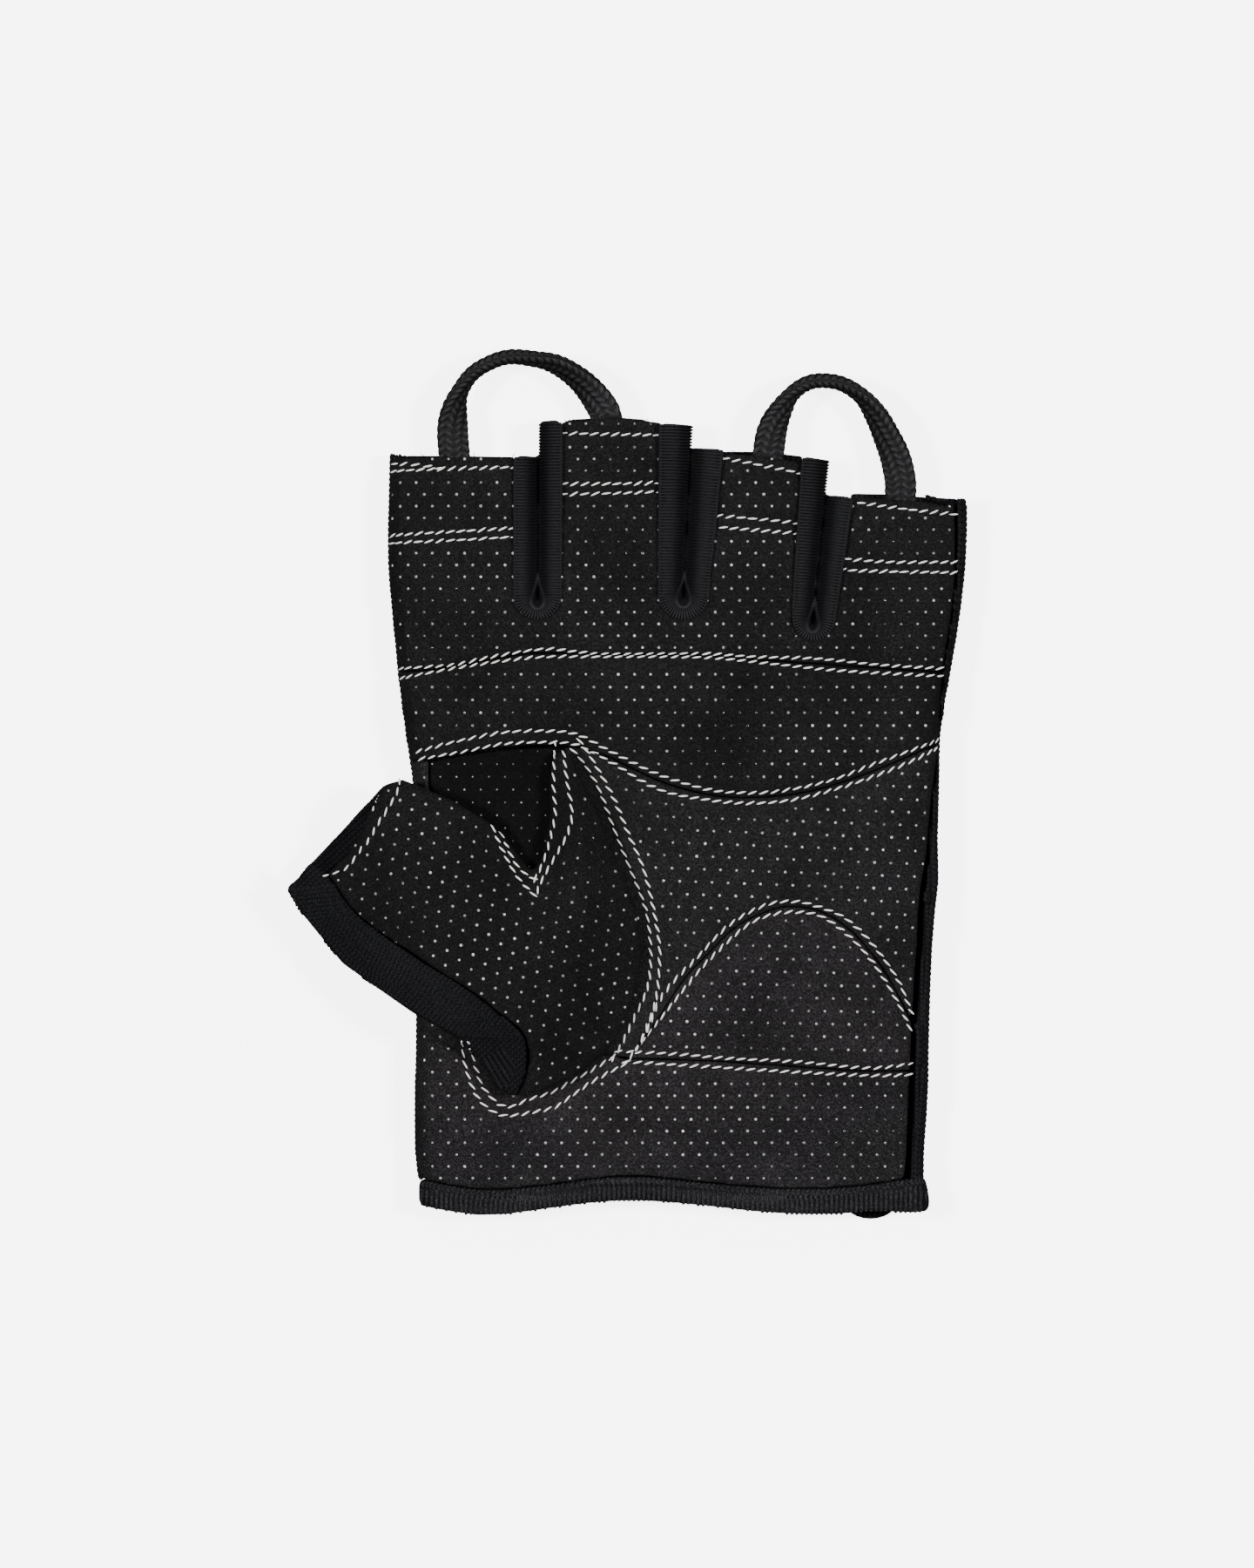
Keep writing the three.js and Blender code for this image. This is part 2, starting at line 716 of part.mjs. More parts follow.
function lining(slit) {
  const { pair, endPair, shareOf } = slitParts(slit);
  const stations = [];
  for (let i = 0; i < LEG_STEPS; i += 1) {
    stations.push(pair(mix(shareOf(slit.leftEnd), 0, i / LEG_STEPS), -1));
  }
  for (let i = 0; i <= TURN_STEPS; i += 1) {
    stations.push(endPair((Math.PI * i) / TURN_STEPS));
  }
  for (let i = 1; i <= LEG_STEPS; i += 1) {
    stations.push(pair(mix(0, shareOf(slit.rightEnd), i / LEG_STEPS), 1));
  }
  const arc = Array.from(
    { length: TAPE_STEPS + 1 },
    (_, i) => (Math.PI * i) / TAPE_STEPS - Math.PI / 2,
  );
  const sections = stations.map(({ edge, middle, half }) => {
    const inward = middle.clone().sub(edge).normalize();
    const high = palmTop(edge.x, edge.y) + TAPE_PROUD;
    const bulge = half - SEAM_GAP - VALLEY_GAP / 2;
    const around = (turn, wall) => {
      const out = SEAM_GAP + (bulge - wall) * Math.cos(turn);
      const z = high / 2 + (high / 2 - wall) * Math.sin(turn);
      return { out, z, point: edge.clone().addScaledVector(inward, out) };
    };
    const outer = arc.map((turn) => around(turn, 0));
    const inner = arc.map((turn) => around(turn, TAPE_WALL)).reverse();
    return [...outer, ...inner];
  });
  const spot = ({ point, z }) => new THREE.Vector3(point.x, point.y, z);
  const rings = sections.map((ring) => ring.map(spot));
  return loft(rings, sections[0].map(({ out, z }) => new THREE.Vector2(out, z)));
}

SLITS.forEach((slit) => add(`fourchette_${slit.name}`, lining(slit), ribbedTape));

// Thumb stall: a flat pouch that comes out of the palm's hole and lies over to the side.

const stallFold = STALL_FOLD.map(place);
const stallSewn = STALL_SEWN.map(place);
const stallUnder = STALL_UNDER.map(place);
const stallLine = [...stallFold, ...stallSewn.slice(1), ...stallUnder.slice(1)];

// Whether a plan point is inside a closed line.
function isInside(line, x, y) {
  return line.reduce((inside, a, i) => {
    const b = line[(i + 1) % line.length];
    const beside = a.y > y !== b.y > y;
    const crosses = beside && x < mix(a.x, b.x, (y - a.y) / (b.y - a.y));
    return crosses ? !inside : inside;
  }, false);
}

// How far a plan point is from a line of points.
function distanceTo(line, x, y) {
  const spot = new THREE.Vector3(x, y, 0);
  const near = new THREE.Vector3();
  const piece = new THREE.Line3();
  const flat = line.map((point) => new THREE.Vector3(point.x, point.y, 0));
  const gaps = flat.slice(1).map((end, i) => {
    piece.set(flat[i], end).closestPointToPoint(spot, true, near);
    return near.distanceTo(spot);
  });
  return Math.min(...gaps);
}

// Height of the stall's underside: on the palm, then down past the hand's side.
function stallRest(x) {
  const onPalm = THREE.MathUtils.smoothstep(x / BODY_WIDTH, DROOP.low, DROOP.high);
  return mix(THUMB_REST, HAND_HEIGHT + THUMB_CLEAR, onPalm);
}

// The stall's lower and upper surface, moved in by a wall. Past an edge, its slope goes on.
function stallSurfaces(x, y, wall) {
  const foldGap = Math.min(distanceTo(stallFold, x, y), distanceTo(stallUnder, x, y));
  const seamGap = distanceTo(stallSewn, x, y);
  const outside = !isInside(stallLine, x, y);
  const toFold = outside && foldGap < seamGap ? -foldGap : foldGap;
  const toSeam = outside && foldGap >= seamGap ? -seamGap : seamGap;
  const fold = mix(FOLD_SHARE, 1, Math.min(toFold / FOLD_REACH, 1));
  const sewn = mix(SEWN_SHARE, 1, Math.min(toSeam / SEWN_REACH, 1));
  const fromRoot = place(STALL_ROOT).distanceTo(new THREE.Vector2(x, y)) / BODY_LENGTH;
  const rise = mix(ROOT_HEIGHT, 1, THREE.MathUtils.smoothstep(fromRoot, 0, ROOT_REACH));
  const thick = THUMB_HEIGHT * rise * Math.max(sewn, 0);
  const low = stallRest(x) + (thick * (1 - fold)) / 2 + wall;
  const high = stallRest(x) + (thick * (1 + fold)) / 2 - wall;
  return { low, high: Math.max(high, low + THINNEST) };
}

// A sheet over a plan box, between a lower and an upper surface.
function sheet(box, step, surfacesAt) {
  const size = box.getSize(new THREE.Vector2());
  const columns = Math.ceil(size.x / step);
  const rows = Math.ceil(size.y / step);
  const rings = [];
  for (let i = 0; i <= rows; i += 1) {
    const y = mix(box.min.y, box.max.y, i / rows);
    const across = Array.from({ length: columns + 1 }, (_, j) => {
      const x = mix(box.min.x, box.max.x, j / columns);
      return { x, ...surfacesAt(x, y) };
    });
    const over = across.map(({ x, high }) => new THREE.Vector3(x, y, high));
    const under = across.map(({ x, low }) => new THREE.Vector3(x, y, low));
    rings.push([...over, ...under.reverse()]);
  }
  return loft(rings);
}

const stallBox = new THREE.Box2().setFromPoints(stallLine).expandByScalar(2 * THUMB_WALL);
const stallSheet = (surfacesAt) => sheet(stallBox, STALL_STEP, surfacesAt);
const mouthOut = stallFold[0].clone().sub(stallFold[3]).setLength(FAR);
const hollowLine = shift(stallLine, -THUMB_WALL);
const beyondMouth = [hollowLine.at(-1).clone().add(mouthOut), hollowLine[0].clone().add(mouthOut)];
const stallOuter = stallSheet((x, y) => stallSurfaces(x, y, 0)).intersect(block(stallLine, -1, FAR));
const stallHollow = stallSheet((x, y) => stallSurfaces(x, y, THUMB_WALL)).intersect(
  block([...hollowLine, ...beyondMouth], -1, FAR),
);

const gussetLine = GUSSET.map(place);
const underGusset = block(shift(gussetLine, THUMB_WALL), -1, FAR);
const throat = block(holeLine, -1, HAND_HEIGHT + THUMB_CLEAR + FLOOR_LINING).subtract(underGusset);
const stallShell = stallOuter.subtract(stallHollow).subtract(throat);

const knitEdge = curve(KNIT_EDGE, 24);
const floorEdge = STALL_FLOOR.map(place);
const farWest = [corner(-2, -1), corner(-2, 2)];
function knitForm(gap) {
  const edge = shift(knitEdge, gap).reverse();
  const side = block([...edge, corner(-2, 0.44), farWest[0]], -1, FAR);
  const west = block([...shift(floorEdge, gap), ...farWest], -1, FAR);
  const floor = stallSheet((x, y) => {
    const { low } = stallSurfaces(x, y, 0);
    return { low: -1, high: low + FLOOR_LINING + gap };
  });
  return side.add(floor.intersect(west));
}
const hemBlock = block([...curve(STALL_HEM, 30), corner(1, -1), corner(1, 2)], -1, FAR);
add("thumb_band", stallShell.intersect(knitForm(0)), knit);
const stallCloth = stallShell.intersect(hemBlock).subtract(knitForm(SEAM_GAP));
add("thumb_panel", mainBody(stallCloth), dottedCloth);

// Gusset: a sheet that sags between its edges.

const gussetBox = new THREE.Box2().setFromPoints(gussetLine);
const gussetMiddle = gussetBox.getCenter(new THREE.Vector2());
const gussetSize = gussetBox.getSize(new THREE.Vector2());
const gussetSheet = sheet(gussetBox, GUSSET_STEP, (x, y) => {
  const aside = (2 * (x - gussetMiddle.x)) / gussetSize.x;
  const along = (2 * (y - gussetMiddle.y)) / gussetSize.y;
  const high = HAND_HEIGHT - GUSSET_DIP * clamp01(1 - aside * aside - along * along);
  return { high, low: high - GUSSET_WALL };
});
add("thumb_gusset", gussetSheet.intersect(block(gussetLine, -1, FAR)), dottedCloth);

// Wrist binding: a padded ring round the wrist opening.

const grown = (share) => ({ side: -BINDING_PROUD * share, palm: -BINDING_PROUD * share, floor: 0 });
const bindingIn = BINDING_WALL - BINDING_PROUD;
const hollowed = { side: bindingIn, palm: bindingIn, floor: BINDING_WALL };
const bindingRows = [
  { reach: 0, inset: grown(0.5) },
  { reach: 0.2, inset: grown(1) },
  { reach: 0.8, inset: grown(1) },
  { reach: 1, inset: grown(0.3) },
  { reach: 1, inset: hollowed },
  { reach: 0, inset: hollowed },
];
const bindingRings = bindingRows.map(({ reach, inset }) => {
  const drop = (reach * BINDING_WIDTH + SEAM_GAP) / BODY_LENGTH;
  return handRing(SIDES[0].along, inset, (across) => hemAt(across) - drop, TOP_STEPS);
});
const bindingRing = loft(bindingRings, null, true);

// Tab: a rounded tongue sewn in under the binding.

const tabMiddle = TAB_ACROSS * BODY_WIDTH;
const tabTop = hemAt(TAB_ACROSS) * BODY_LENGTH - 2 * SEAM_GAP;
function tabOutline(gap) {
  const half = TAB_WIDTH / 2 + gap;
  const foot = tabTop - TAB_LENGTH + TAB_WIDTH / 2;
  const outline = [new THREE.Vector2(tabMiddle + half, tabTop + gap)];
  outline.push(new THREE.Vector2(tabMiddle - half, tabTop + gap));
  for (let i = 0; i <= TAB_STEPS; i += 1) {
    const turn = Math.PI + (Math.PI * i) / TAB_STEPS;
    outline.push(new THREE.Vector2(tabMiddle + half * Math.cos(turn), foot + half * Math.sin(turn)));
  }
  return outline;
}
const tabPocket = block(tabOutline(SEAM_GAP), -1, TAB_THICK + SEAM_GAP);
add("wrist_binding", bindingRing.subtract(tabPocket), bindingKnit);
add("wrist_tab", block(tabOutline(0), 0, TAB_THICK), bindingKnit);

// Pull loops: flat braid, sewn in flat under the palm cloth, that turns on its edge over the top.

function pullLoop(rows) {
  const first = rows[0];
  const last = rows.at(-1);
  const tuck = (row) => ({ ...row, along: row.along - LOOP_TUCK / BODY_LENGTH });
  const full = [tuck(first), ...rows, tuck(last)];
  const knots = full.map((row) => new THREE.Vector3(...place(row).toArray(), row.turn));
  const line = new THREE.CatmullRomCurve3(knots, false, "centripetal");
  const sewnHeight = (row) => {
    const spot = place(row);
    return palmTop(spot.x, spot.y) - PALM_WALL - SEAM_GAP - LOOP_THICK / 2;
  };
  const square = (value) => Math.sign(value) * Math.abs(value) ** LOOP_SQUARENESS;
  const section = Array.from({ length: LOOP_SIDES }, (_, i) => {
    const turn = (2 * Math.PI * (i + 0.5)) / LOOP_SIDES;
    const aside = (LOOP_WIDTH / 2) * square(Math.cos(turn));
    return new THREE.Vector2(aside, (LOOP_THICK / 2) * square(Math.sin(turn)));
  });
  const rings = [];
  for (let i = 0; i <= LOOP_STEPS; i += 1) {
    const share = i / LOOP_STEPS;
    const at = line.getPoint(share);
    const run = line.getTangent(share).setZ(0).normalize();
    const side = new THREE.Vector3(run.y, -run.x, 0);
    const up = new THREE.Vector3(0, 0, 1);
    const turn = (clamp01(at.z) * Math.PI) / 2;
    const wide = side.clone().multiplyScalar(Math.cos(turn)).addScaledVector(up, Math.sin(turn));
    const thick = up.clone().multiplyScalar(Math.cos(turn)).addScaledVector(side, -Math.sin(turn));
    const middle = new THREE.Vector3(at.x, at.y, mix(sewnHeight(first), sewnHeight(last), share));
    rings.push(
      section.map((p) => middle.clone().addScaledVector(wide, p.x).addScaledVector(thick, p.y)),
    );
  }
  return loft(rings);
}
Object.entries(LOOPS).forEach(([name, rows]) => add(`loop_${name}`, pullLoop(rows), braid));

// The origin goes under the middle of the whole glove.
const box = new THREE.Box3().setFromObject(glove);
const centre = box.getCenter(new THREE.Vector3());
glove.position.set(-centre.x, -centre.y, -box.min.z);
glove.name = "weightlifting_glove";
glove.updateMatrixWorld(true);

export default glove;
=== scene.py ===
# %% [markdown]
# # A fingerless weightlifting glove
# The glove lies on its back with the palm up. Its palm is a cloth with rows of small silicone
# dots, sewn together from panels with pale thread, and the back and the thumb's side are knit.
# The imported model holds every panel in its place, so each cell below only makes one of them look
# like cloth. Sizes are in millimetres here and become metres when a mesh is made.

# %% Load the frame
import math

import bmesh
import bpy
import numpy as np
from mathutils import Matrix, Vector
from mathutils.bvhtree import BVHTree


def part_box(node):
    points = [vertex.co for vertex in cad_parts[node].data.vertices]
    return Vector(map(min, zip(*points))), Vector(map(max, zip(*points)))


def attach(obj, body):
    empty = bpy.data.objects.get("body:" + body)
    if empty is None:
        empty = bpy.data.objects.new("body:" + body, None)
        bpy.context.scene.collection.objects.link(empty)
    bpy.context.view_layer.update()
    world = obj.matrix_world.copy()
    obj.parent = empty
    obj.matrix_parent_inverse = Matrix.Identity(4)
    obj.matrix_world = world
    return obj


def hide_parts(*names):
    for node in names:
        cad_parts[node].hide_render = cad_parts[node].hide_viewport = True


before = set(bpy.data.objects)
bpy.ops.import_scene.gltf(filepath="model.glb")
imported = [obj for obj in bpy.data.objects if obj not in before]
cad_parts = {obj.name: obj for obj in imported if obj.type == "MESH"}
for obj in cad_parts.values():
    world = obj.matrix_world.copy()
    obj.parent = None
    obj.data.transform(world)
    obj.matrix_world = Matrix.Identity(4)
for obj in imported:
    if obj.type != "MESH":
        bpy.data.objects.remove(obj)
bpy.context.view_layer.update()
MM = 0.001
print("nodes:", ", ".join(sorted(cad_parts)))

# %% [markdown]
# ## The camera
# The glove was photographed from straight above with a long lens. A lens that is far away keeps
# the high thumb and the low wrist at the same scale. The lines of the seams were read off the
# photograph, so one helper turns a place in its frame, 1440 wide and 1800 high, into millimetres.

# %% Camera and places
PIXEL = 0.155  # mm on the palm
ORIGIN = (719.27, 899.12)  # where the model's origin lies in the photograph


def spot(column, row):
    return (column - ORIGIN[0]) * PIXEL, (ORIGIN[1] - row) * PIXEL


def line(*places):
    return np.array([spot(*place) for place in places])


def flow(points, step=0.8):
    """Puts points along a smooth curve through the given ones."""
    points = np.asarray(points, float)
    padded = np.vstack([2 * points[0] - points[1], points, 2 * points[-1] - points[-2]])
    made = []
    for a, b, c, d in zip(padded, padded[1:], padded[2:], padded[3:]):
        count = max(2, int(np.linalg.norm(c - b) / step))
        t = np.linspace(0, 1, count, endpoint=False)[:, None]
        made.append(0.5 * (2 * b + (c - a) * t + (2 * a - 5 * b + 4 * c - d) * t**2
                           + (3 * b - a - 3 * c + d) * t**3))
    return np.vstack([*made, points[-1:]])


PALM_HEIGHT = 11  # mm
CAMERA_DISTANCE = 1200  # mm over the palm
SENSOR = 36  # mm, along the frame's long side
centre = spot(720, 900)
lens = bpy.data.cameras.new("camera")
lens.lens = SENSOR * CAMERA_DISTANCE / (1800 * PIXEL)
lens.sensor_width = SENSOR
camera = bpy.data.objects.new("camera", lens)
camera.location = (centre[0] * MM, centre[1] * MM, (PALM_HEIGHT + CAMERA_DISTANCE) * MM)
bpy.context.scene.collection.objects.link(camera)
bpy.context.scene.camera = camera
print("lens", round(lens.lens, 1), "mm")

# %% [markdown]
# ## Shader groups
# Several cloths share the same small effects: the diagonal of a twill, the loops of a knit and
# the uneven colour of dyed yarn. Each effect is built once as a group of nodes, and a material
# places it with its own sizes.


# %% Helpers for shader nodes
def linear(code):
    """A web colour as the linear values that Blender works with."""
    parts = [int(code[i:i + 2], 16) / 255 for i in (1, 3, 5)]
    return [p / 12.92 if p <= 0.04045 else ((p + 0.055) / 1.055) ** 2.4 for p in parts] + [1]


class Nodes:
    """Adds nodes to a tree and joins them: a value is a number, a colour or another socket."""

    def __init__(self, tree):
        self.tree = tree

    def put(self, socket, value):
        if isinstance(value, bpy.types.NodeSocket):
            self.tree.links.new(value, socket)
        else:
            socket.default_value = value

    def fill(self, node, inputs):
        for key, value in dict(inputs).items():
            self.put(node.inputs[key], value)

    def add(self, kind, inputs=(), **settings):
        node = self.tree.nodes.new(kind)
        for name, value in settings.items():
            setattr(node, name, value)
        self.fill(node, inputs)
        return node

    def out(self, kind, inputs=(), output=0, **settings):
        """Adds a node too, and gives one of its outputs."""
        return self.add(kind, inputs, **settings).outputs[output]

    def math(self, operation, *values):
        return self.out("ShaderNodeMath", enumerate(values), operation=operation)

    def times(self, a, b):
        return self.math("MULTIPLY", a, b)

    def scaled(self, a, b, plus):
        return self.math("MULTIPLY_ADD", a, b, plus)

    def blend(self, share, a, b):
        return self.out("ShaderNodeMix", {0: share, 6: a, 7: b}, 2, data_type="RGBA")

    def vector(self, x=0.0, y=0.0, z=0.0):
        return self.out("ShaderNodeCombineXYZ", {0: x, 1: y, 2: z})

    def parts(self, vector):
        return self.add("ShaderNodeSeparateXYZ", {0: vector}).outputs


def shader_group(name, inputs, outputs):
    tree = bpy.data.node_groups.new(name, "ShaderNodeTree")
    for title, value in inputs.items():
        kind = "NodeSocketVector" if isinstance(value, tuple) else "NodeSocketFloat"
        socket = tree.interface.new_socket(title, in_out="INPUT", socket_type=kind)
        socket.default_value = value
    for title in outputs:
        tree.interface.new_socket(title, in_out="OUTPUT", socket_type="NodeSocketFloat")
    return Nodes(tree), tree.nodes.new("NodeGroupInput").outputs, tree.nodes.new("NodeGroupOutput")


# %% Group: twill
# A wave along each of two directions: the long one is the diagonal, the short one the yarns.
nodes, given, result = shader_group("Twill", {"Place": (0.0, 0.0, 0.0), "Pitch": 0.38}, ["Height"])
x, y, _ = nodes.parts(given["Place"])
turns = nodes.math("DIVIDE", 2 * math.pi / MM, given["Pitch"])
across = nodes.times(nodes.scaled(y, -1.7, x), turns)
along = nodes.times(nodes.scaled(y, 0.9, x), turns)
yarns = nodes.math("SINE", nodes.times(along, 0.8))
both = nodes.scaled(yarns, 0.35, nodes.math("SINE", across))
nodes.put(result.inputs["Height"], nodes.scaled(both, 0.37, 0.5))
print("twill group:", len(nodes.tree.nodes), "nodes")

# %% Group: knit
# Each column of a plain knit is a chain of small V shapes: the wave along the column is pushed
# up at the column's sides.
nodes, given, result = shader_group(
    "Knit", {"Place": (0.0, 0.0, 0.0), "Column": 0.8, "Loop": 0.7}, ["Height"])
x, y, _ = nodes.parts(given["Place"])
column = nodes.math("FRACT", nodes.math("DIVIDE", nodes.times(x, 1 / MM), given["Column"]))
side = nodes.math("ABSOLUTE", nodes.math("SUBTRACT", column, 0.5))
loop = nodes.math("DIVIDE", nodes.times(y, 1 / MM), given["Loop"])
pushed = nodes.scaled(side, -1.4, loop)
chain = nodes.math("SINE", nodes.times(pushed, 2 * math.pi))
valley = nodes.math("SINE", nodes.times(column, math.pi))
height = nodes.scaled(chain, 0.28, nodes.times(valley, 0.6))
nodes.put(result.inputs["Height"], height)
print("knit group:", len(nodes.tree.nodes), "nodes")

# %% Group: yarn
# Dyed yarn is never even: broad patches are a little paler, and single fibres catch the light.
nodes, given, result = shader_group(
    "Yarn", {"Place": (0.0, 0.0, 0.0), "Patch": 14.0, "Fibre": 0.35}, ["Patches", "Fibres"])
for title, size, detail, rough in (("Patches", "Patch", 3.0, 0.6), ("Fibres", "Fibre", 2.0, 0.7)):
    noise = nodes.out("ShaderNodeTexNoise", {
        "Vector": given["Place"], "Scale": nodes.math("DIVIDE", 1 / MM, given[size]),
        "Detail": detail, "Roughness": rough}, "Fac")
    nodes.put(result.inputs[title], noise)
print("yarn group:", len(nodes.tree.nodes), "nodes")

# %% [markdown]
# ## Cloths
# A cloth is a Principled shader. Its colour is mixed between a dark and a pale tone by the
# yarn's patches, its fibres and its weave; the weave's low places take the dark tone as painted
# shade. The weave also feeds a Bump node. A weave is a function that gives the cloth's height at a
# place.


# %% Helpers for materials
def place_group(nodes, name, **values):
    return nodes.add("ShaderNodeGroup", values, node_tree=bpy.data.node_groups[name]).outputs


def turned(nodes, degrees):
    """The place that is shaded, seen in a frame that is turned to lie along the cloth."""
    coordinates = nodes.out("ShaderNodeTexCoord", output="Object")
    return nodes.out("ShaderNodeMapping", {
        "Vector": coordinates, "Rotation": (0, 0, math.radians(degrees))})


def start_material(name):
    material = bpy.data.materials.new(name)
    material.use_nodes = True
    material.node_tree.nodes.clear()
    nodes = Nodes(material.node_tree)
    shader = nodes.add("ShaderNodeBsdfPrincipled")
    nodes.add("ShaderNodeOutputMaterial", {"Surface": shader.outputs[0]})
    return material, nodes, shader


def cloth(name, dark, pale, weave, degrees=0, rough=0.9, depth=0.1, gloss=0.06, even=0.3):
    """A cloth's material: the weave's height lifts the yarns, and its low places take the dark
    tone, a painted shade for the weave's fine hollows.
    """
    material, nodes, shader = start_material(name)
    place = turned(nodes, degrees)
    height = weave(nodes, place)
    yarn = place_group(nodes, "Yarn", Place=place)
    fleck = nodes.scaled(yarn["Fibres"], 4.0, -1.75)
    fleck = nodes.scaled(nodes.math("MAXIMUM", fleck, 0.0), 1.3, even)
    broad = nodes.scaled(yarn["Patches"], 1.6, 0.1)
    # Painted shade: the low places of the weave get the dark tone, in place of the shade of its
    # fine relief. The fibres and patches are the yarn's own uneven dye.
    raised = nodes.scaled(nodes.math("POWER", height, 2.0), 0.95, 0.05)
    share = nodes.times(nodes.times(fleck, broad), raised)
    colour = nodes.blend(nodes.math("MINIMUM", share, 1.0), linear(dark), linear(pale))
    bump = nodes.out("ShaderNodeBump", {"Height": height, "Distance": depth * MM, "Strength": 1.0})
    nodes.fill(shader, {
        "Base Color": colour, "Roughness": rough, "Specular IOR Level": gloss, "Normal": bump})
    return material


# %% Weaves
def twill(nodes, place):
    return place_group(nodes, "Twill", Place=place)["Height"]


def knit(column, loop):
    """A knit's weave, from the width of its columns and the length of its loops in mm."""
    return lambda nodes, place: place_group(
        nodes, "Knit", Place=place, Column=column, Loop=loop)["Height"]


def plain(nodes, place):
    """For pieces whose ribs or loops are real ones: the yarn alone makes the colour uneven."""
    return 0.9


def plaited(nodes, place):
    """The plaits' own height, which the braid's tree stores on its points. Where it is low, between
    the plaits, the cloth paints shade.
    """
    return nodes.out("ShaderNodeAttribute", output="Fac", attribute_name="plait")


# %% Cloths of the glove
palm_twill = cloth("palm_twill", "#080708", "#383738", twill)
# Painted light: a paler copy of the palm's cloth for the heel cushion and the wrist, which catch
# more light.
lit_heel_twill = cloth("lit_heel_twill", "#080708", "#403e40", twill)
# Painted shade: a darker copy of the palm's cloth for the fingers and the knuckle cushion, which
# lie in more shade.
shaded_upper_twill = cloth("shaded_upper_twill", "#060606", "#2f2e2f", twill)
thumb_twill = cloth("thumb_twill", "#060606", "#2b2a2b", twill, 38)
# Painted shade: a much darker copy of the palm's cloth for the gusset, which lies in shadow in its
# hollow under the thumb.
shaded_gusset_twill = cloth("shaded_gusset_twill", "#040405", "#1b1b1c", twill)
back_knit = cloth("back_knit", "#050506", "#202023", knit(0.95, 0.8), even=0.9)
thumb_knit = cloth("thumb_knit", "#050506", "#1e1e21", knit(0.8, 0.75), 48, even=0.9)
knit_yarn = cloth("knit_yarn", "#060607", "#1a1a1c", plain, even=0.5)
slit_tape = cloth("slit_tape", "#060607", "#131316", plain, rough=0.6, gloss=0.15, even=0.5)
binding_rib = cloth("binding_rib", "#070708", "#333135", knit(0.9, 3.0), depth=0.2, even=0.5)
rib_yarn = cloth("rib_yarn", "#09090a", "#2f2e31", plain, even=0.25)
loop_braid = cloth("loop_braid", "#030304", "#29282a", plaited, rough=0.6, gloss=0.12, even=0.6)
print("cloths:", ", ".join(m.name for m in bpy.data.materials if m.use_nodes))

# %% Silicone and thread
# The dots' pale base colour is a painted highlight: the silicone itself is dark and clear, and the
# lamps give it real glints too. In broad patches the painted highlight is brighter than in others.
dot_painted_highlight, nodes, shader = start_material("dot_painted_highlight")
highlight_patches = place_group(nodes, "Yarn", Place=turned(nodes, 0), Patch=16.0, Fibre=0.9)
share = nodes.scaled(highlight_patches["Patches"], 3.0, -1.95)
share = nodes.scaled(highlight_patches["Fibres"], 1.6, share)
share = nodes.math("MAXIMUM", nodes.math("MINIMUM", share, 1.0), 0.0)
# Painted highlight: the pale tone stands in for the lamps' glints on the domes.
colour = nodes.blend(share, linear("#2a292a"), linear("#bebcbe"))
nodes.fill(shader, {"Base Color": colour, "Roughness": 0.08, "Specular IOR Level": 0.8})

# The thread's ply is a fine twill along the stitches. Its low places take the darker tone, as
# painted shade, and its fibres make the tone uneven too.
stitch_thread, nodes, shader = start_material("stitch_thread")
place = turned(nodes, 30)
ply = place_group(nodes, "Twill", Place=place, Pitch=0.22)["Height"]
yarn = place_group(nodes, "Yarn", Place=place, Patch=4.0, Fibre=0.25)
share = nodes.scaled(ply, 0.5, nodes.times(yarn["Fibres"], 0.6))
colour = nodes.blend(share, linear("#d8d4cf"), linear("#fdfbf8"))
bump = nodes.out("ShaderNodeBump", {"Height": ply, "Distance": 0.05 * MM})
nodes.fill(shader, {"Base Color": colour, "Roughness": 0.7, "Normal": bump})
print("with nodes:", dot_painted_highlight.name, "and", stitch_thread.name)

# %% [markdown]
# ## The seams
# The panels are sewn with pairs of stitch rows in pale thread. Each row is a smooth curve
# through a few places, and it will be laid on the cloth once the cloth is made.

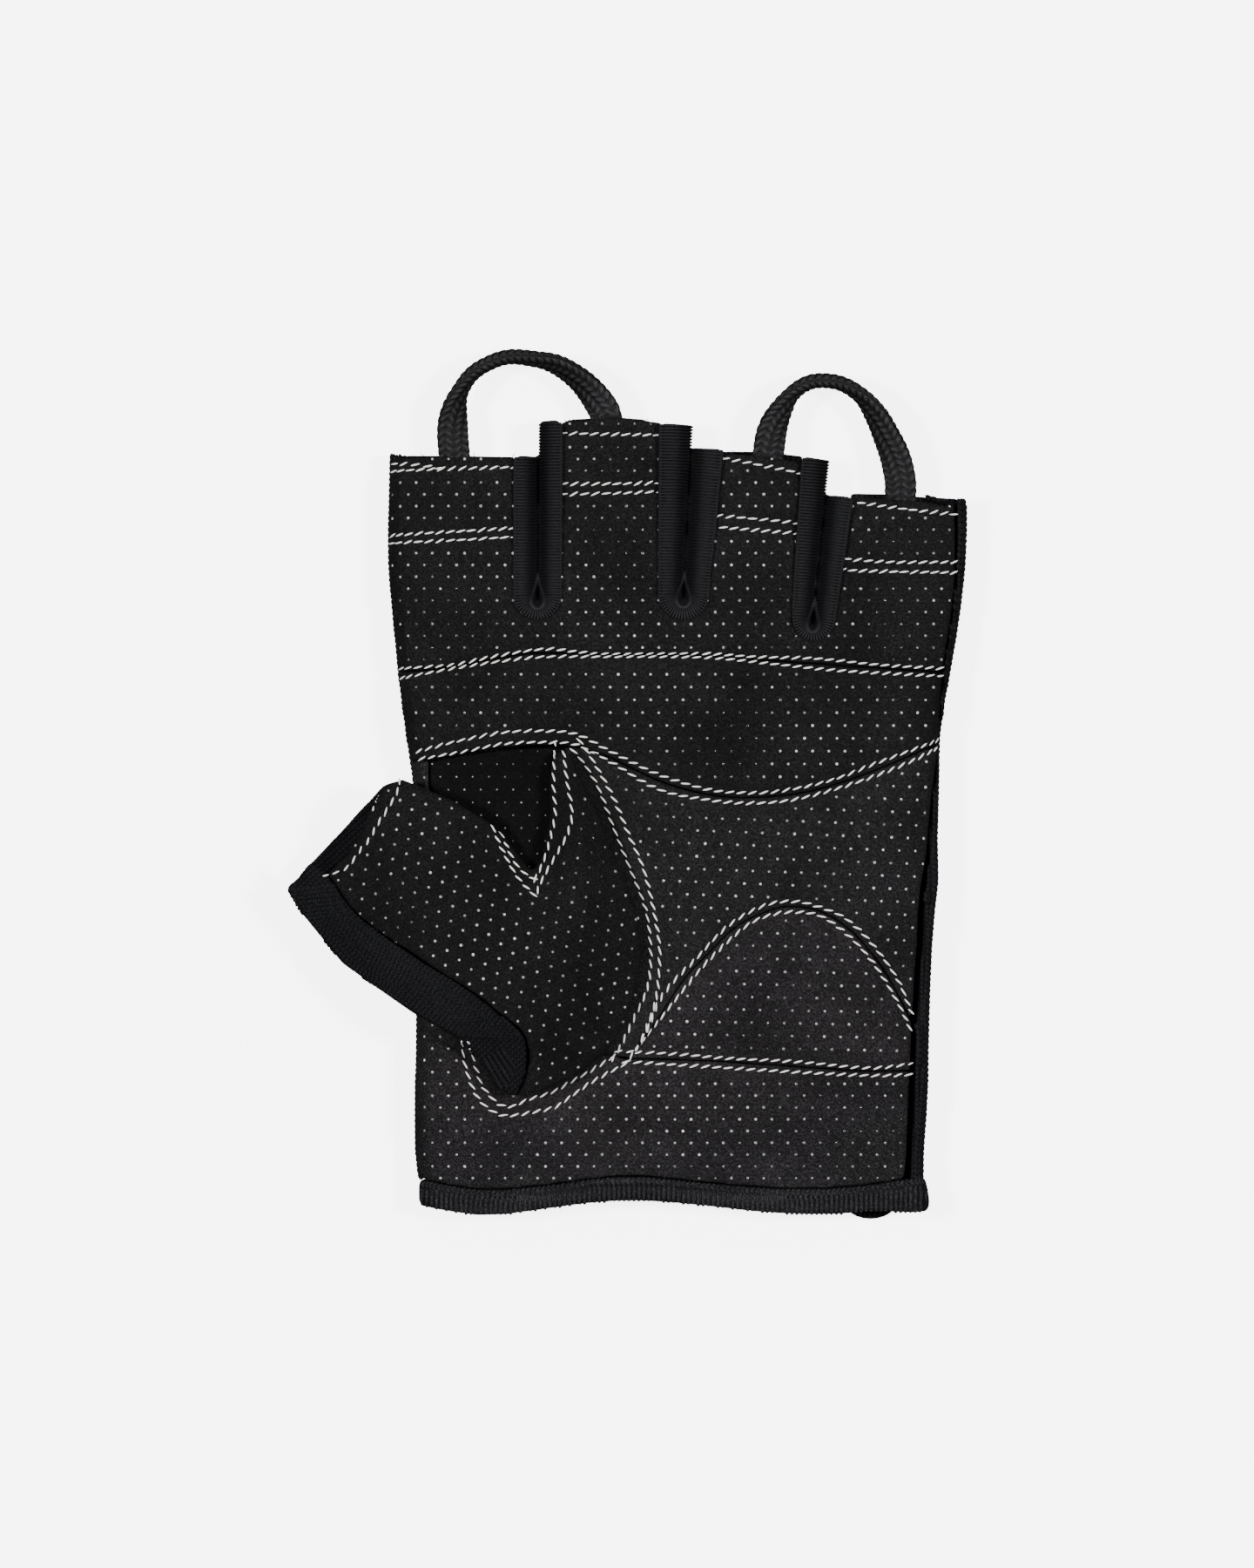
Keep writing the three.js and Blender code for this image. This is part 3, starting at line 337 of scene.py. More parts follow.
# %% Stitch rows
ROWS = {
    "fingers": [
        line((451, 540), (505, 538), (591, 536)),
        line((928, 537), (946, 537)),
        line((447, 531), (478, 533), (505, 537)),
        line((450, 614), (520, 610), (589, 606)),
        line((449, 623), (520, 620), (591, 616)),
        line((646, 497), (700, 498), (755, 499)),
        line((642, 555), (700, 555), (757, 554)),
        line((641, 567), (700, 566), (758, 564)),
        line((833, 526), (876, 534), (920, 543)),
        line((814, 591), (865, 595), (916, 600)),
        line((814, 604), (865, 608), (916, 612)),
        line((989, 577), (1040, 584), (1096, 590)),
        line((967, 641), (1023, 645), (1096, 645)),
        line((962, 654), (1023, 656), (1096, 657)),
    ],
    "knuckles": [
        line((460, 767), (517, 763), (575, 752), (626, 745), (662, 748), (700, 750), (804, 750),
             (868, 754), (938, 756), (1009, 763), (1080, 767)),
        line((461, 778), (517, 768), (575, 759), (626, 754), (700, 754), (812, 755), (896, 763),
             (967, 770), (1080, 776)),
        line((481, 862), (529, 850), (577, 841), (621, 839), (662, 843), (700, 862), (756, 889),
             (812, 906), (854, 910), (896, 908), (953, 896), (1009, 875), (1077, 850)),
        line((484, 871), (541, 861), (577, 854), (626, 852), (662, 855), (700, 874), (756, 906),
             (812, 918), (863, 922), (916, 917), (981, 899), (1037, 878), (1075, 860)),
    ],
    "thumb_root": [
        line((666, 851), (682, 875), (704, 915), (722, 958), (741, 1004), (756, 1074), (757, 1111),
             (753, 1148), (741, 1184), (731, 1203)),
        line((655, 858), (673, 880), (689, 909), (704, 949), (722, 994), (741, 1043), (747, 1089),
             (744, 1132), (728, 1169), (713, 1200), (704, 1215)),
        line((539, 1196), (544, 1216), (552, 1243), (566, 1262), (583, 1271), (608, 1262),
             (634, 1254), (654, 1243), (677, 1230), (703, 1214)),
        line((531, 1194), (533, 1218), (541, 1245), (552, 1265), (569, 1278), (585, 1281),
             (612, 1277), (638, 1271), (654, 1260), (680, 1242), (717, 1222)),
    ],
    "gusset": [
        line((637, 852), (636, 901), (638, 932), (634, 955), (628, 978), (619, 1001), (615, 1008)),
        line((647, 860), (651, 894), (657, 935), (650, 961), (639, 981), (624, 1007), (618, 1021)),
        line((576, 958), (587, 981), (598, 998), (613, 1008)),
        line((567, 951), (576, 973), (590, 999), (601, 1014), (613, 1026)),
    ],
    "heel": [
        line((725, 1212), (744, 1181), (756, 1151), (774, 1126), (799, 1101), (829, 1069),
             (857, 1049), (886, 1037), (915, 1035), (943, 1042), (972, 1055), (1001, 1083),
             (1030, 1123), (1047, 1162)),
        line((731, 1206), (759, 1169), (793, 1126), (820, 1096), (857, 1063), (886, 1050),
             (915, 1047), (943, 1052), (972, 1072), (1001, 1103), (1030, 1149), (1047, 1185)),
        line((710, 1207), (774, 1210), (835, 1215), (915, 1219), (995, 1226), (1045, 1222)),
        line((719, 1219), (800, 1224), (915, 1231), (1001, 1235), (1044, 1234)),
    ],
    "thumb_hem": [
        line((460, 897), (457, 911), (451, 921), (442, 936), (433, 949), (427, 962), (418, 972),
             (409, 984), (402, 994), (391, 1000), (374, 1005)),
        line((435, 914), (430, 928)),
    ],
}
SEAMS = {name: [flow(row) for row in rows] for name, rows in ROWS.items()}
all_rows = [row for rows in SEAMS.values() for row in rows]
print(len(all_rows), "stitch rows")

# %% [markdown]
# ## Relief of the cloth
# Thread pulls the cloth in, the foam swells between the seams, and handling leaves folds. All of
# that is one height over the plan, so a panel and the stitches on it always agree.

# %% Folds
# Each is a depth (less than 0 is a ridge) and a half width in mm, then the line that it follows.
FOLDS = [
    (0.9, 2.6, line((728, 835), (756, 863), (798, 885))),
    (0.7, 2.2, line((661, 875), (682, 927), (707, 985), (728, 1034), (736, 1089), (734, 1114),
                    (725, 1154))),
    (0.5, 3.0, line((770, 1250), (900, 1258), (1030, 1262))),
    (0.5, 4.0, line((880, 790), (960, 812), (1040, 806))),
]
THUMB_FOLDS = [
    (-1.1, 1.3, line((655, 1130), (673, 1164), (688, 1197))),
    (-1.2, 1.6, line((612, 1172), (640, 1196), (690, 1206))),
    (-0.6, 2.2, line((520, 1010), (600, 1062), (660, 1120))),
    (0.7, 1.3, line((618, 1128), (634, 1160), (652, 1186))),
    (0.6, 1.2, line((590, 1168), (640, 1180), (684, 1190))),
    (0.35, 2.0, line((470, 960), (520, 1040), (575, 1110))),
]
print("folds:", len(FOLDS), "on the palm and", len(THUMB_FOLDS), "on the thumb")


# %% Relief
DIP_DEPTH = 0.42  # mm, under a row of stitches
DIP_WIDTH = 0.9
DIP_REACH = 4  # mm from a row's box, past which the row does nothing


def gap_to(path, points):
    """How far each plan point is from a line."""
    best = np.full(len(points), np.inf)
    for a, b in zip(path[:-1], path[1:]):
        run = b - a
        share = np.clip(((points - a) @ run) / (run @ run), 0, 1)
        best = np.minimum(best, np.linalg.norm(points - a - share[:, None] * run, axis=1))
    return best


def waves(points):
    """Broad, shallow waves in the cloth, from a few fixed sines."""
    x, y = points.T
    return (0.22 * np.sin(x / 7.1 + 0.8 * np.sin(y / 11)) * np.cos(y / 8.3 + 0.6)
            + 0.12 * np.sin((x + y) / 4.3 + 1.1))


def folded(points, folds):
    height = np.zeros(len(points))
    for depth, width, path in folds:
        height -= depth * np.exp(-((gap_to(flow(path), points) / width) ** 2))
    return height


def relief(points):
    height = waves(points) + folded(points, FOLDS)
    for row in all_rows:
        off_centre = np.abs(points - row.mean(0))
        near = (off_centre < np.ptp(row, axis=0) / 2 + DIP_REACH).all(axis=1)
        gap = gap_to(row[::2], points[near])
        height[near] -= DIP_DEPTH * np.exp(-((gap / DIP_WIDTH) ** 2))
    return height


# %% [markdown]
# ## From a panel of the model to cloth
# A panel of the model has hard edges and large faces. A voxel remesh turns it into even small
# faces, a few rounds of smoothing roll its cut edges as cloth does, and then its points are moved
# by the relief. The model's mesh is only copied, never changed.


# %% Helpers for pieces
def keep(obj, slot=None, *nodes):
    """Hangs a finished piece on the root, hides the model's nodes that it stands for and prints its
    faces.
    """
    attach(obj, "root")
    if nodes:
        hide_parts(*nodes)
    print(obj.name, len(obj.data.polygons), "faces")
    return obj


def new_object(name, mesh):
    obj = bpy.data.objects.new(name, mesh)
    bpy.context.scene.collection.objects.link(obj)
    return obj


def settle(obj):
    """Replaces an object's mesh by the one that its modifiers make."""
    seen = obj.evaluated_get(bpy.context.evaluated_depsgraph_get())
    mesh = bpy.data.meshes.new_from_object(seen)
    obj.modifiers.clear()
    obj.data = mesh
    return obj


SWELL = 0.12  # mm: makes up for what the smoothing takes off


def soften(name, node, material, voxel=0.6, rounds=2, swelling=SWELL):
    """A panel as cloth, from its voxels' size in mm and its rounds of smoothing."""
    mesh = bpy.data.meshes.new(name)
    form = bmesh.new()
    form.from_mesh(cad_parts[node].data)
    bmesh.ops.remove_doubles(form, verts=form.verts, dist=1e-6)
    form.to_mesh(mesh)
    form.free()
    obj = new_object(name, mesh)
    swell = obj.modifiers.new("swell", "DISPLACE")
    swell.strength = swelling * MM
    swell.mid_level = 0
    remesh = obj.modifiers.new("remesh", "REMESH")
    remesh.mode = "VOXEL"
    remesh.voxel_size = voxel * MM
    remesh.use_smooth_shade = True
    smooth = obj.modifiers.new("smooth", "SMOOTH")
    smooth.factor = 0.5
    smooth.iterations = rounds
    settle(obj)
    obj.data.materials.clear()
    obj.data.materials.append(material)
    return obj


def points_of(obj):
    """A mesh's points in mm."""
    flat = np.empty(len(obj.data.vertices) * 3)
    obj.data.vertices.foreach_get("co", flat)
    return flat.reshape(-1, 3) / MM


def move_points(obj, points):
    obj.data.vertices.foreach_set("co", (points * MM).ravel())
    obj.data.update()


def ramp(values, start, end):
    """From 0 at the start to 1 at the end."""
    return np.clip((values - start) / (end - start), 0, 1)


def box_of(node):
    """A node's lowest and highest corner in mm."""
    return [np.array(corner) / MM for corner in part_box(node)]


# %% Palm panels
# The fingers and the knuckles get the darker copy of the palm's cloth, as painted shade, and the
# heel and the wrist get the paler one, as painted light.
PANELS = {
    "finger_cloth": ("finger_panel", shaded_upper_twill),
    "knuckle_cushion": ("knuckle_pad", shaded_upper_twill),
    "palm_cloth": ("palm_panel", palm_twill),
    "heel_cushion": ("heel_pad", lit_heel_twill),
    "wrist_cloth": ("wrist_panel", lit_heel_twill),
}
STILL, FREE = 5, 9  # mm of height: below the first nothing moves, above the second all of it
panels = {}
for name, (node, material) in PANELS.items():
    panel = soften(name, node, material)
    points = points_of(panel)
    points[:, 2] += relief(points[:, :2]) * ramp(points[:, 2], STILL, FREE)
    move_points(panel, points)
    panels[name] = keep(panel, "palm_cloth", node)

# %% Thumb
thumb = soften("thumb_cloth", "thumb_panel", thumb_twill, rounds=6)
points = points_of(thumb)
points[:, 2] += folded(points[:, :2], THUMB_FOLDS)
move_points(thumb, points)
keep(thumb, "palm_cloth", "thumb_panel")
thumb_side = soften("thumb_side", "thumb_band", thumb_knit, rounds=6)
keep(thumb_side, "knit", "thumb_band")
gusset = soften("gusset_cloth", "thumb_gusset", shaded_gusset_twill)
keep(gusset, "palm_cloth", "thumb_gusset")

# %% Back
# Its right side, below the knuckles, rolls a little further out and runs down to the binding.
ROLLED_OUT = 0.8  # mm
RUN_DOWN = 0.9
back = soften("back_cloth", "back_panel", back_knit, voxel=0.75)
points = points_of(back)
right = ramp(points[:, 0], 44, 48)
points[:, 0] += ROLLED_OUT * right * ramp(points[:, 1], -10, -18)
points[:, 1] -= RUN_DOWN * right * ramp(points[:, 1], -64, -68)
move_points(back, points)
keep(back, "knit", "back_panel")

# %% Binding and tab
# The binding is narrower in the middle, where it was stretched as it was sewn on. Its right end
# is stretched outwards and down, past the tab.
NARROWER = 0.9  # mm
NARROW_REACH = 24
END_STRETCH = (0.5, -1.3, 0)
binding = soften("binding", "wrist_binding", binding_rib, voxel=0.5, rounds=3)
points = points_of(binding)
top = box_of("wrist_binding")[1][1]
narrow = NARROWER * np.exp(-(((points[:, 0] - spot(735, 0)[0]) / NARROW_REACH) ** 2))
points[:, 1] += narrow * ramp(points[:, 1], top - 3, top - 6)
stretched = ramp(points[:, 0], 43, 51) * ramp(points[:, 1], -71, -73)
points += stretched[:, None] * END_STRETCH
move_points(binding, points)
keep(binding, "binding_knit", "wrist_binding")

TAB_SHIFT = (0.6, -0.8)  # mm
TAB_WIDER = 1.5  # times
tab = soften("tab", "wrist_tab", binding_rib, voxel=0.4)
points = points_of(tab)
middle = points[:, 0].mean()
points[:, 0] = middle + TAB_WIDER * (points[:, 0] - middle) + TAB_SHIFT[0]
points[:, 1] += TAB_SHIFT[1]
move_points(tab, points)
keep(tab, "binding_knit", "wrist_tab")

# %% [markdown]
# ## Helpers for Geometry Nodes
# What repeats on the glove, such as ribs, plaits, knit loops, stitches and dots, is made by small
# trees of Geometry Nodes. Each starts from a line or a panel and ends with real meshes.


# %% Start, parts and end of a tree
def geometry_tree(name, inputs):
    """A tree with named inputs. The class above adds its nodes, as it does for shaders."""
    kinds = {float: "NodeSocketFloat", int: "NodeSocketInt",
             bpy.types.Material: "NodeSocketMaterial", bpy.types.Object: "NodeSocketObject"}
    tree = bpy.data.node_groups.new(name, "GeometryNodeTree")
    tree.interface.new_socket("Geometry", in_out="INPUT", socket_type="NodeSocketGeometry")
    for title, value in inputs.items():
        kind = value if isinstance(value, type) else type(value)
        socket = tree.interface.new_socket(title, in_out="INPUT", socket_type=kinds[kind])
        if kind in (float, int):
            socket.default_value = value
    tree.interface.new_socket("Geometry", in_out="OUTPUT", socket_type="NodeSocketGeometry")
    return Nodes(tree), tree.nodes.new("NodeGroupInput").outputs


def even_curve(nodes, given, pitch):
    """The lines that the tree is given, as curves with a point at each pitch."""
    curve = nodes.out("GeometryNodeMeshToCurve", {"Mesh": given["Geometry"]})
    return nodes.out("GeometryNodeResampleCurve", {"Curve": curve, "Length": pitch}, mode="LENGTH")


def stored(nodes, geometry, name, value):
    return nodes.out("GeometryNodeStoreNamedAttribute", {
        "Geometry": geometry, "Name": name, "Value": value}, data_type="FLOAT", domain="POINT")


def named(nodes, name, kind="FLOAT"):
    return nodes.out("GeometryNodeInputNamedAttribute", {"Name": name}, data_type=kind)


def tube(nodes, curve, radius, sides):
    section = nodes.out("GeometryNodeCurvePrimitiveCircle", {"Resolution": sides, "Radius": radius})
    return nodes.out("GeometryNodeCurveToMesh", {
        "Curve": curve, "Profile Curve": section, "Fill Caps": True})


def turned_to(nodes, vector, axis, **more):
    """A rotation that lays an axis along a vector."""
    return nodes.out("FunctionNodeAlignRotationToVector", {"Vector": vector}, axis=axis, **more)


def placed(nodes, points, instance, rotation, scale=(1, 1, 1)):
    return nodes.out("GeometryNodeInstanceOnPoints", {
        "Points": points, "Instance": instance, "Rotation": rotation, "Scale": scale})


def moved(nodes, geometry, **how):
    """Sets a geometry's points to a Position, or moves them by an Offset."""
    return nodes.out("GeometryNodeSetPosition", {"Geometry": geometry, **how})


def smoothed(nodes, geometry):
    return nodes.out("GeometryNodeSetShadeSmooth", {0: geometry})


def end_tree(nodes, geometry, material):
    """Makes the instances real, sets their material and gives the finished tree."""
    real = nodes.out("GeometryNodeRealizeInstances", {0: geometry})
    done = nodes.out("GeometryNodeSetMaterial", {"Geometry": real, "Material": material})
    nodes.add("NodeGroupOutput", {0: done})
    print(nodes.tree.name + ":", len(nodes.tree.nodes), "nodes")
    return nodes.tree


def grow(obj, tree, **values):
    """Runs a tree on an object and keeps the mesh that it makes."""
    modifier = obj.modifiers.new("nodes", "NODES")
    modifier.node_group = tree
    for item in tree.interface.items_tree:
        if item.item_type == "SOCKET" and item.in_out == "INPUT" and item.name in values:
            modifier[item.identifier] = values[item.name]
    obj.update_tag()
    return settle(obj)


def path_object(name, places, attribute, values):
    """One line through places in mm, with a number stored at each."""
    mesh = bpy.data.meshes.new(name)
    mesh.from_pydata((places * MM).tolist(), [(i, i + 1) for i in range(len(places) - 1)], [])
    mesh.attributes.new(attribute, "FLOAT", "POINT").data.foreach_set("value", values)
    return new_object(name, mesh)


# %% [markdown]
# ## Slit linings
# Each slit between two fingers is lined with a ribbed tape that runs down one finger, round the
# slit's end and up the next. The ribs lie across the tape, so they are one bent rib repeated
# along the slit's edge.

# %% Rib tree
RIB_ARC = math.radians(82), math.radians(113)  # where the bent rib starts, and how far it runs
nodes, given = geometry_tree("Ribs on a tape", {
    "Pitch": 0.00055, "Thickness": 0.0004, "Bulge": 0.0035, "Height": 0.0115, "Inset": 0.0003,
    "Roll": 0.00045, "Tape": bpy.types.Material})
edge = even_curve(nodes, given, given["Pitch"])
arc = nodes.out("GeometryNodeCurveArc", {
    "Resolution": 12, "Radius": 1.0, "Start Angle": RIB_ARC[0], "Sweep Angle": RIB_ARC[1]})
x, y, _ = nodes.parts(nodes.out("GeometryNodeInputPosition"))
half = nodes.times(given["Height"], 0.5)
bend = nodes.vector(
    x=nodes.math("SUBTRACT", nodes.times(x, given["Bulge"]), given["Inset"]),
    z=nodes.scaled(y, half, half))
bent = moved(nodes, arc, Position=bend)
rib = smoothed(nodes, tube(nodes, bent, nodes.times(given["Thickness"], 0.5), 6))
across = turned_to(nodes, nodes.out("GeometryNodeInputTangent"), "Y", pivot_axis="Z")
size = nodes.vector(named(nodes, "width"), 1.0, 1.0)
# The cloth's cut edge is rolled in under the ribs, which also closes the seam.
lowered = nodes.math("SUBTRACT", given["Height"], nodes.times(given["Roll"], 2.0))
raised = moved(nodes, edge, Offset=nodes.vector(z=lowered))
both = nodes.add("GeometryNodeJoinGeometry")
nodes.put(both.inputs[0], placed(nodes, edge, rib, across, size))
nodes.put(both.inputs[0], tube(nodes, raised, given["Roll"], 8))
rib_tree = end_tree(nodes, both.outputs[0], given["Tape"])

# %% Edges of the slits
# The slit's round end and its mouth, its half widths there in mm, and how far its legs reach.
SLITS = {
    "index": ((617.2, 684), (617.8, 500), 4.0, 4.0, 524, 484),
    "middle": ((785, 682.4), (794, 510), 4.24, 5.44, 488, 514),
    "ring": ((934.2, 711), (952.2, 539.5), 3.6, 4.64, 528, 568),
}
RIB = 0.44  # mm, thick
RIB_STOP = 2  # photograph pixels before a leg's end, where the tape is cut
RIB_INSET = 0.5  # mm
RIB_REACH = 3.5  # mm that a rib of width 1 reaches out


def slit_edge(tip, mouth, tip_half, mouth_half, left_end, right_end):
    """The U of a slit's edge from the left leg's end to the right leg's, with its half width."""
    tip, mouth = np.array(spot(*tip)), np.array(spot(*mouth))
    run = mouth - tip
    ahead = run / np.linalg.norm(run)
    side = np.array([ahead[1], -ahead[0]])

    def leg(hand, end):
        reach = (spot(0, end + RIB_STOP)[1] - tip[1]) / run[1]
        shares = np.linspace(0, reach, 40)
        halves = tip_half + (mouth_half - tip_half) * shares
        return [(*(tip + run * t + side * hand * h), h) for t, h in zip(shares, halves)]

    turns = np.linspace(math.pi, 0, 24)[1:-1]
    round_end = [tip + tip_half * (side * math.cos(t) - ahead * math.sin(t)) for t in turns]
    return np.array([*leg(-1, left_end)[::-1], *((*place, tip_half) for place in round_end),
                     *leg(1, right_end)])


# %% Tapes and their ribs
tapes = []
for name, slit in SLITS.items():
    node = f"fourchette_{name}"
    tape = soften(f"tape_{name}", node, slit_tape, voxel=0.45, swelling=0.1)
    tapes.append(keep(tape, "ribbed_tape", node))
    path = slit_edge(*slit)
    places = path * (1, 1, 0)
    line_object = path_object(f"ribs_{name}", places, "width", (path[:, 2] - RIB_INSET) / RIB_REACH)
    height = box_of(node)[1][2] * MM
    ribs = grow(line_object, rib_tree, Height=height, Thickness=RIB * MM, Tape=slit_tape)
    keep(ribs, "ribbed_tape")

# %% [markdown]
# ## Pull loops
# A pull loop is a flat braid that is sewn in flat at both ends and stands on its edge over the
# top. Its middle line carries the turn as an attribute. The tree sweeps a flat section along the
# line and then raises the braid's plaits, so that they show at the loop's edges too.

# %% Braid tree
nodes, given = geometry_tree("Braid", {
    "Step": 0.00014, "Width": 0.0055, "Thickness": 0.0023, "Plait": 0.0013, "Columns": 4.0,
    "Relief": 0.00028, "Braid": bpy.types.Material})
path = even_curve(nodes, given, given["Step"])
upright = nodes.out("GeometryNodeSetCurveNormal", {"Curve": path}, mode="Z_UP")
tilted = nodes.out("GeometryNodeSetCurveTilt", {"Curve": upright, "Tilt": named(nodes, "turn")})
length = nodes.out("GeometryNodeSplineParameter", output="Length")
marked_path = stored(nodes, tilted, "along", length)
section = nodes.out("GeometryNodeCurvePrimitiveCircle", {"Resolution": 44, "Radius": 0.5})
flat = nodes.out("GeometryNodeTransform", {
    "Geometry": section, "Scale": nodes.vector(given["Width"], given["Thickness"], 1.0)})
around = nodes.out("GeometryNodeSplineParameter", output="Factor")
swept = nodes.out("GeometryNodeCurveToMesh", {
    "Curve": marked_path, "Profile Curve": stored(nodes, flat, "around", around),
    "Fill Caps": True})
# The plaits lean one way in every second column and the other way between.
column = nodes.times(named(nodes, "around"), nodes.times(given["Columns"], 2.0))
within = nodes.math("SUBTRACT", nodes.math("FRACT", column), 0.5)
odd = nodes.math("FLOORED_MODULO", nodes.math("FLOOR", column), 2.0)
lean = nodes.times(within, nodes.scaled(odd, 1.6, -0.8))
phase = nodes.math("ADD", nodes.math("DIVIDE", named(nodes, "along"), given["Plait"]), lean)
plait = nodes.math("ABSOLUTE", nodes.math("SINE", nodes.times(phase, math.pi)))
ridge = nodes.math("COSINE", nodes.times(within, math.pi))
bulk = nodes.math("POWER", nodes.times(plait, ridge), 0.6)
push = nodes.out("ShaderNodeVectorMath", {
    0: nodes.out("GeometryNodeInputNormal"), 3: nodes.times(bulk, given["Relief"])},
    operation="SCALE")
raised = stored(nodes, moved(nodes, swept, Offset=push), "plait", bulk)
braid_tree = end_tree(nodes, smoothed(nodes, raised), given["Braid"])

# %% Braid the loops
# Each row is a place and how far the braid has turned there, from 0 flat to 1 on its edge.
LOOPS = {
    "index": [(521, 543, 0), (521, 524, 0), (519, 494, 0.15), (521, 469, 0.5), (527, 449, 0.8),
              (540, 429, 0.95), (559, 416, 1), (583, 408, 1), (611, 410, 0.9), (639, 417, 0.72),
              (665, 434, 0.55), (684, 455, 0.3), (696, 476, 0), (696, 495, 0)],
    "ring": [(883, 538, 0), (883, 519, 0), (888, 490, 0.3), (900, 465, 0.65), (914, 447, 0.9),
             (935, 436, 1), (965, 438, 1), (990, 453, 0.85), (1007, 475, 0.62), (1019, 499, 0.45),
             (1029, 523, 0.25), (1035, 550, 0), (1035, 569, 0), (1035, 588, 0)],
}
for name, rows in LOOPS.items():
    path = flow([(*spot(column, row), turn) for column, row, turn in rows])
    low, high = box_of(f"loop_{name}")
    places = path * (1, 1, 0) + (0, 0, (low[2] + high[2]) / 2)
    line_object = path_object(f"pull_loop_{name}", places, "turn", path[:, 2] * math.pi / 2)
    keep(grow(line_object, braid_tree, Braid=loop_braid), "braid", f"loop_{name}")

# %% [markdown]
# ## Knit loops and ribs
# A knit that is seen from its edge shows real loops. One loop is a pair of short yarns in a V.
# The first tree repeats it along lines that were laid on the knit. The second makes plain round
# yarns of such lines, for the ribs of the wrist binding.

# %% Loop tree and yarn tree
nodes, given = geometry_tree("Knit loops", {
    "Pitch": 0.0008, "Length": 0.0011, "Thickness": 0.00045, "Slant": 0.5, "Spread": 0.0002,
    "Yarn": bpy.types.Material})
bead = nodes.out("GeometryNodeMeshUVSphere", {"Segments": 6, "Rings": 4, "Radius": 0.5}, "Mesh")
bead = smoothed(nodes, bead)
size = nodes.vector(given["Length"], given["Thickness"], given["Thickness"])
pair = nodes.add("GeometryNodeJoinGeometry")
for hand in (1, -1):
    nodes.put(pair.inputs[0], nodes.out("GeometryNodeTransform", {
        "Geometry": bead, "Scale": size,
        "Translation": nodes.vector(y=nodes.times(given["Spread"], hand)),
        "Rotation": nodes.vector(z=nodes.times(given["Slant"], hand))}))
stand = nodes.out("FunctionNodeAlignRotationToVector", {
    "Rotation": turned_to(nodes, nodes.out("GeometryNodeInputTangent"), "X"),
    "Vector": named(nodes, "out", "FLOAT_VECTOR")}, axis="Z", pivot_axis="X")
loops = placed(nodes, even_curve(nodes, given, given["Pitch"]), pair.outputs[0], stand)
loop_tree = end_tree(nodes, loops, given["Yarn"])

nodes, given = geometry_tree("Round yarns", {"Thickness": 0.0007, "Yarn": bpy.types.Material})
curve = nodes.out("GeometryNodeMeshToCurve", {"Mesh": given["Geometry"]})
yarn = tube(nodes, curve, nodes.times(given["Thickness"], 0.5), 7)
yarn_tree = end_tree(nodes, smoothed(nodes, yarn), given["Yarn"])

# %% [markdown]
# ## Lines on the cloth
# A ray that is shot at a finished piece tells where its surface is and which way it faces. Rows
# of such hits become lines, and the two trees above turn the lines into yarns or loops.

# %% Helpers for lines
ABOVE = 60  # mm, over all pieces: rays that look for the cloth start here
DOWN = (0, 0, -1)


def surface_tree(objects):
    """The surfaces of several pieces in one search tree, to lay lines on whatever is there."""
    corners, faces = [], []
    for obj in objects:
        start = len(corners)
        corners += [v.co for v in obj.data.vertices]
        faces += [[start + i for i in p.vertices] for p in obj.data.polygons]
    return BVHTree.FromPolygons(corners, faces)


def strike(surface, start, way):
    """Where a ray from a place in mm meets a surface, and the surface's normal there."""
    return surface.ray_cast(Vector(start) * MM, Vector(way))[:2]


def drop(surface, plan):
    """What rays from above meet at each plan place."""
    return [strike(surface, (x, y, ABOVE), DOWN) for x, y in plan]


def lines_object(name, rows):
    """Lines from rows of (place, normal) in metres. A place that is None breaks its line."""
    verts, edges, outs = [], [], []
    for row in rows:
        last = None
        for place, out in row:
            if place is None:
                last = None
                continue
            if last is not None:
                edges.append((last, len(verts)))
            last = len(verts)
            verts.append(place)
            outs.append(out)
    mesh = bpy.data.meshes.new(name)
    mesh.from_pydata(verts, edges, [])
    attribute = mesh.attributes.new("out", "FLOAT_VECTOR", "POINT")
    attribute.data.foreach_set("vector", np.array(outs).ravel())
    return new_object(name, mesh)


MISSED = (None, None)


def lay_yarns(name, rows, slot, thickness, yarn):
    line_object = lines_object(name, rows)
    keep(grow(line_object, yarn_tree, Thickness=thickness * MM, Yarn=yarn), slot)


def lay_loops(name, rows, slot, yarn, slant, **sizes):
    """Sizes are in mm: the Pitch, and each yarn's Length, Thickness and Spread."""
    metres = {title: size * MM for title, size in sizes.items()}
    line_object = lines_object(name, rows)
    keep(grow(line_object, loop_tree, Slant=slant, Yarn=yarn, **metres), slot)


# %% Loops at the sides of the back
SIDE_ROWS = np.arange(1.3, 10.0, 1.6)  # heights in mm
SIDE_STEP = 0.9
back_surface = surface_tree([back])
low, high = box_of("back_panel")
# Each side's name and direction, and how far out it lies at least.
for name, side, least in (("left", -1, 34), ("right", 1, 48)):
    rows = []
    for z in SIDE_ROWS:
        hits = [strike(back_surface, (side * 80, y, z), (-side, 0, 0))
                for y in np.arange(low[1] + 1, high[1], SIDE_STEP)]
        rows.append([hit if hit[0] is not None and side * hit[0].x > least * MM else MISSED
                     for hit in hits])
    lay_loops(f"knit_{name}_side", rows, "knit", knit_yarn, 0.5,
              Pitch=1.0, Length=1.5, Thickness=0.85, Spread=0.36)

# %% Loops on the thumb's band
BAND_SEAM = line((395, 1015), (412, 1047), (445, 1072), (485, 1100), (530, 1125), (570, 1157),
                 (600, 1190))
BAND_EDGE = line((333, 1022), (350, 1054), (375, 1083), (400, 1111), (445, 1137), (490, 1163),
                 (533, 1187))
BAND_COLUMNS = 12
BAND_POINTS = 90


def evenly(path, count):
    fine = flow(path, 0.2)
    return fine[np.linspace(0, len(fine) - 1, count).astype(int)]


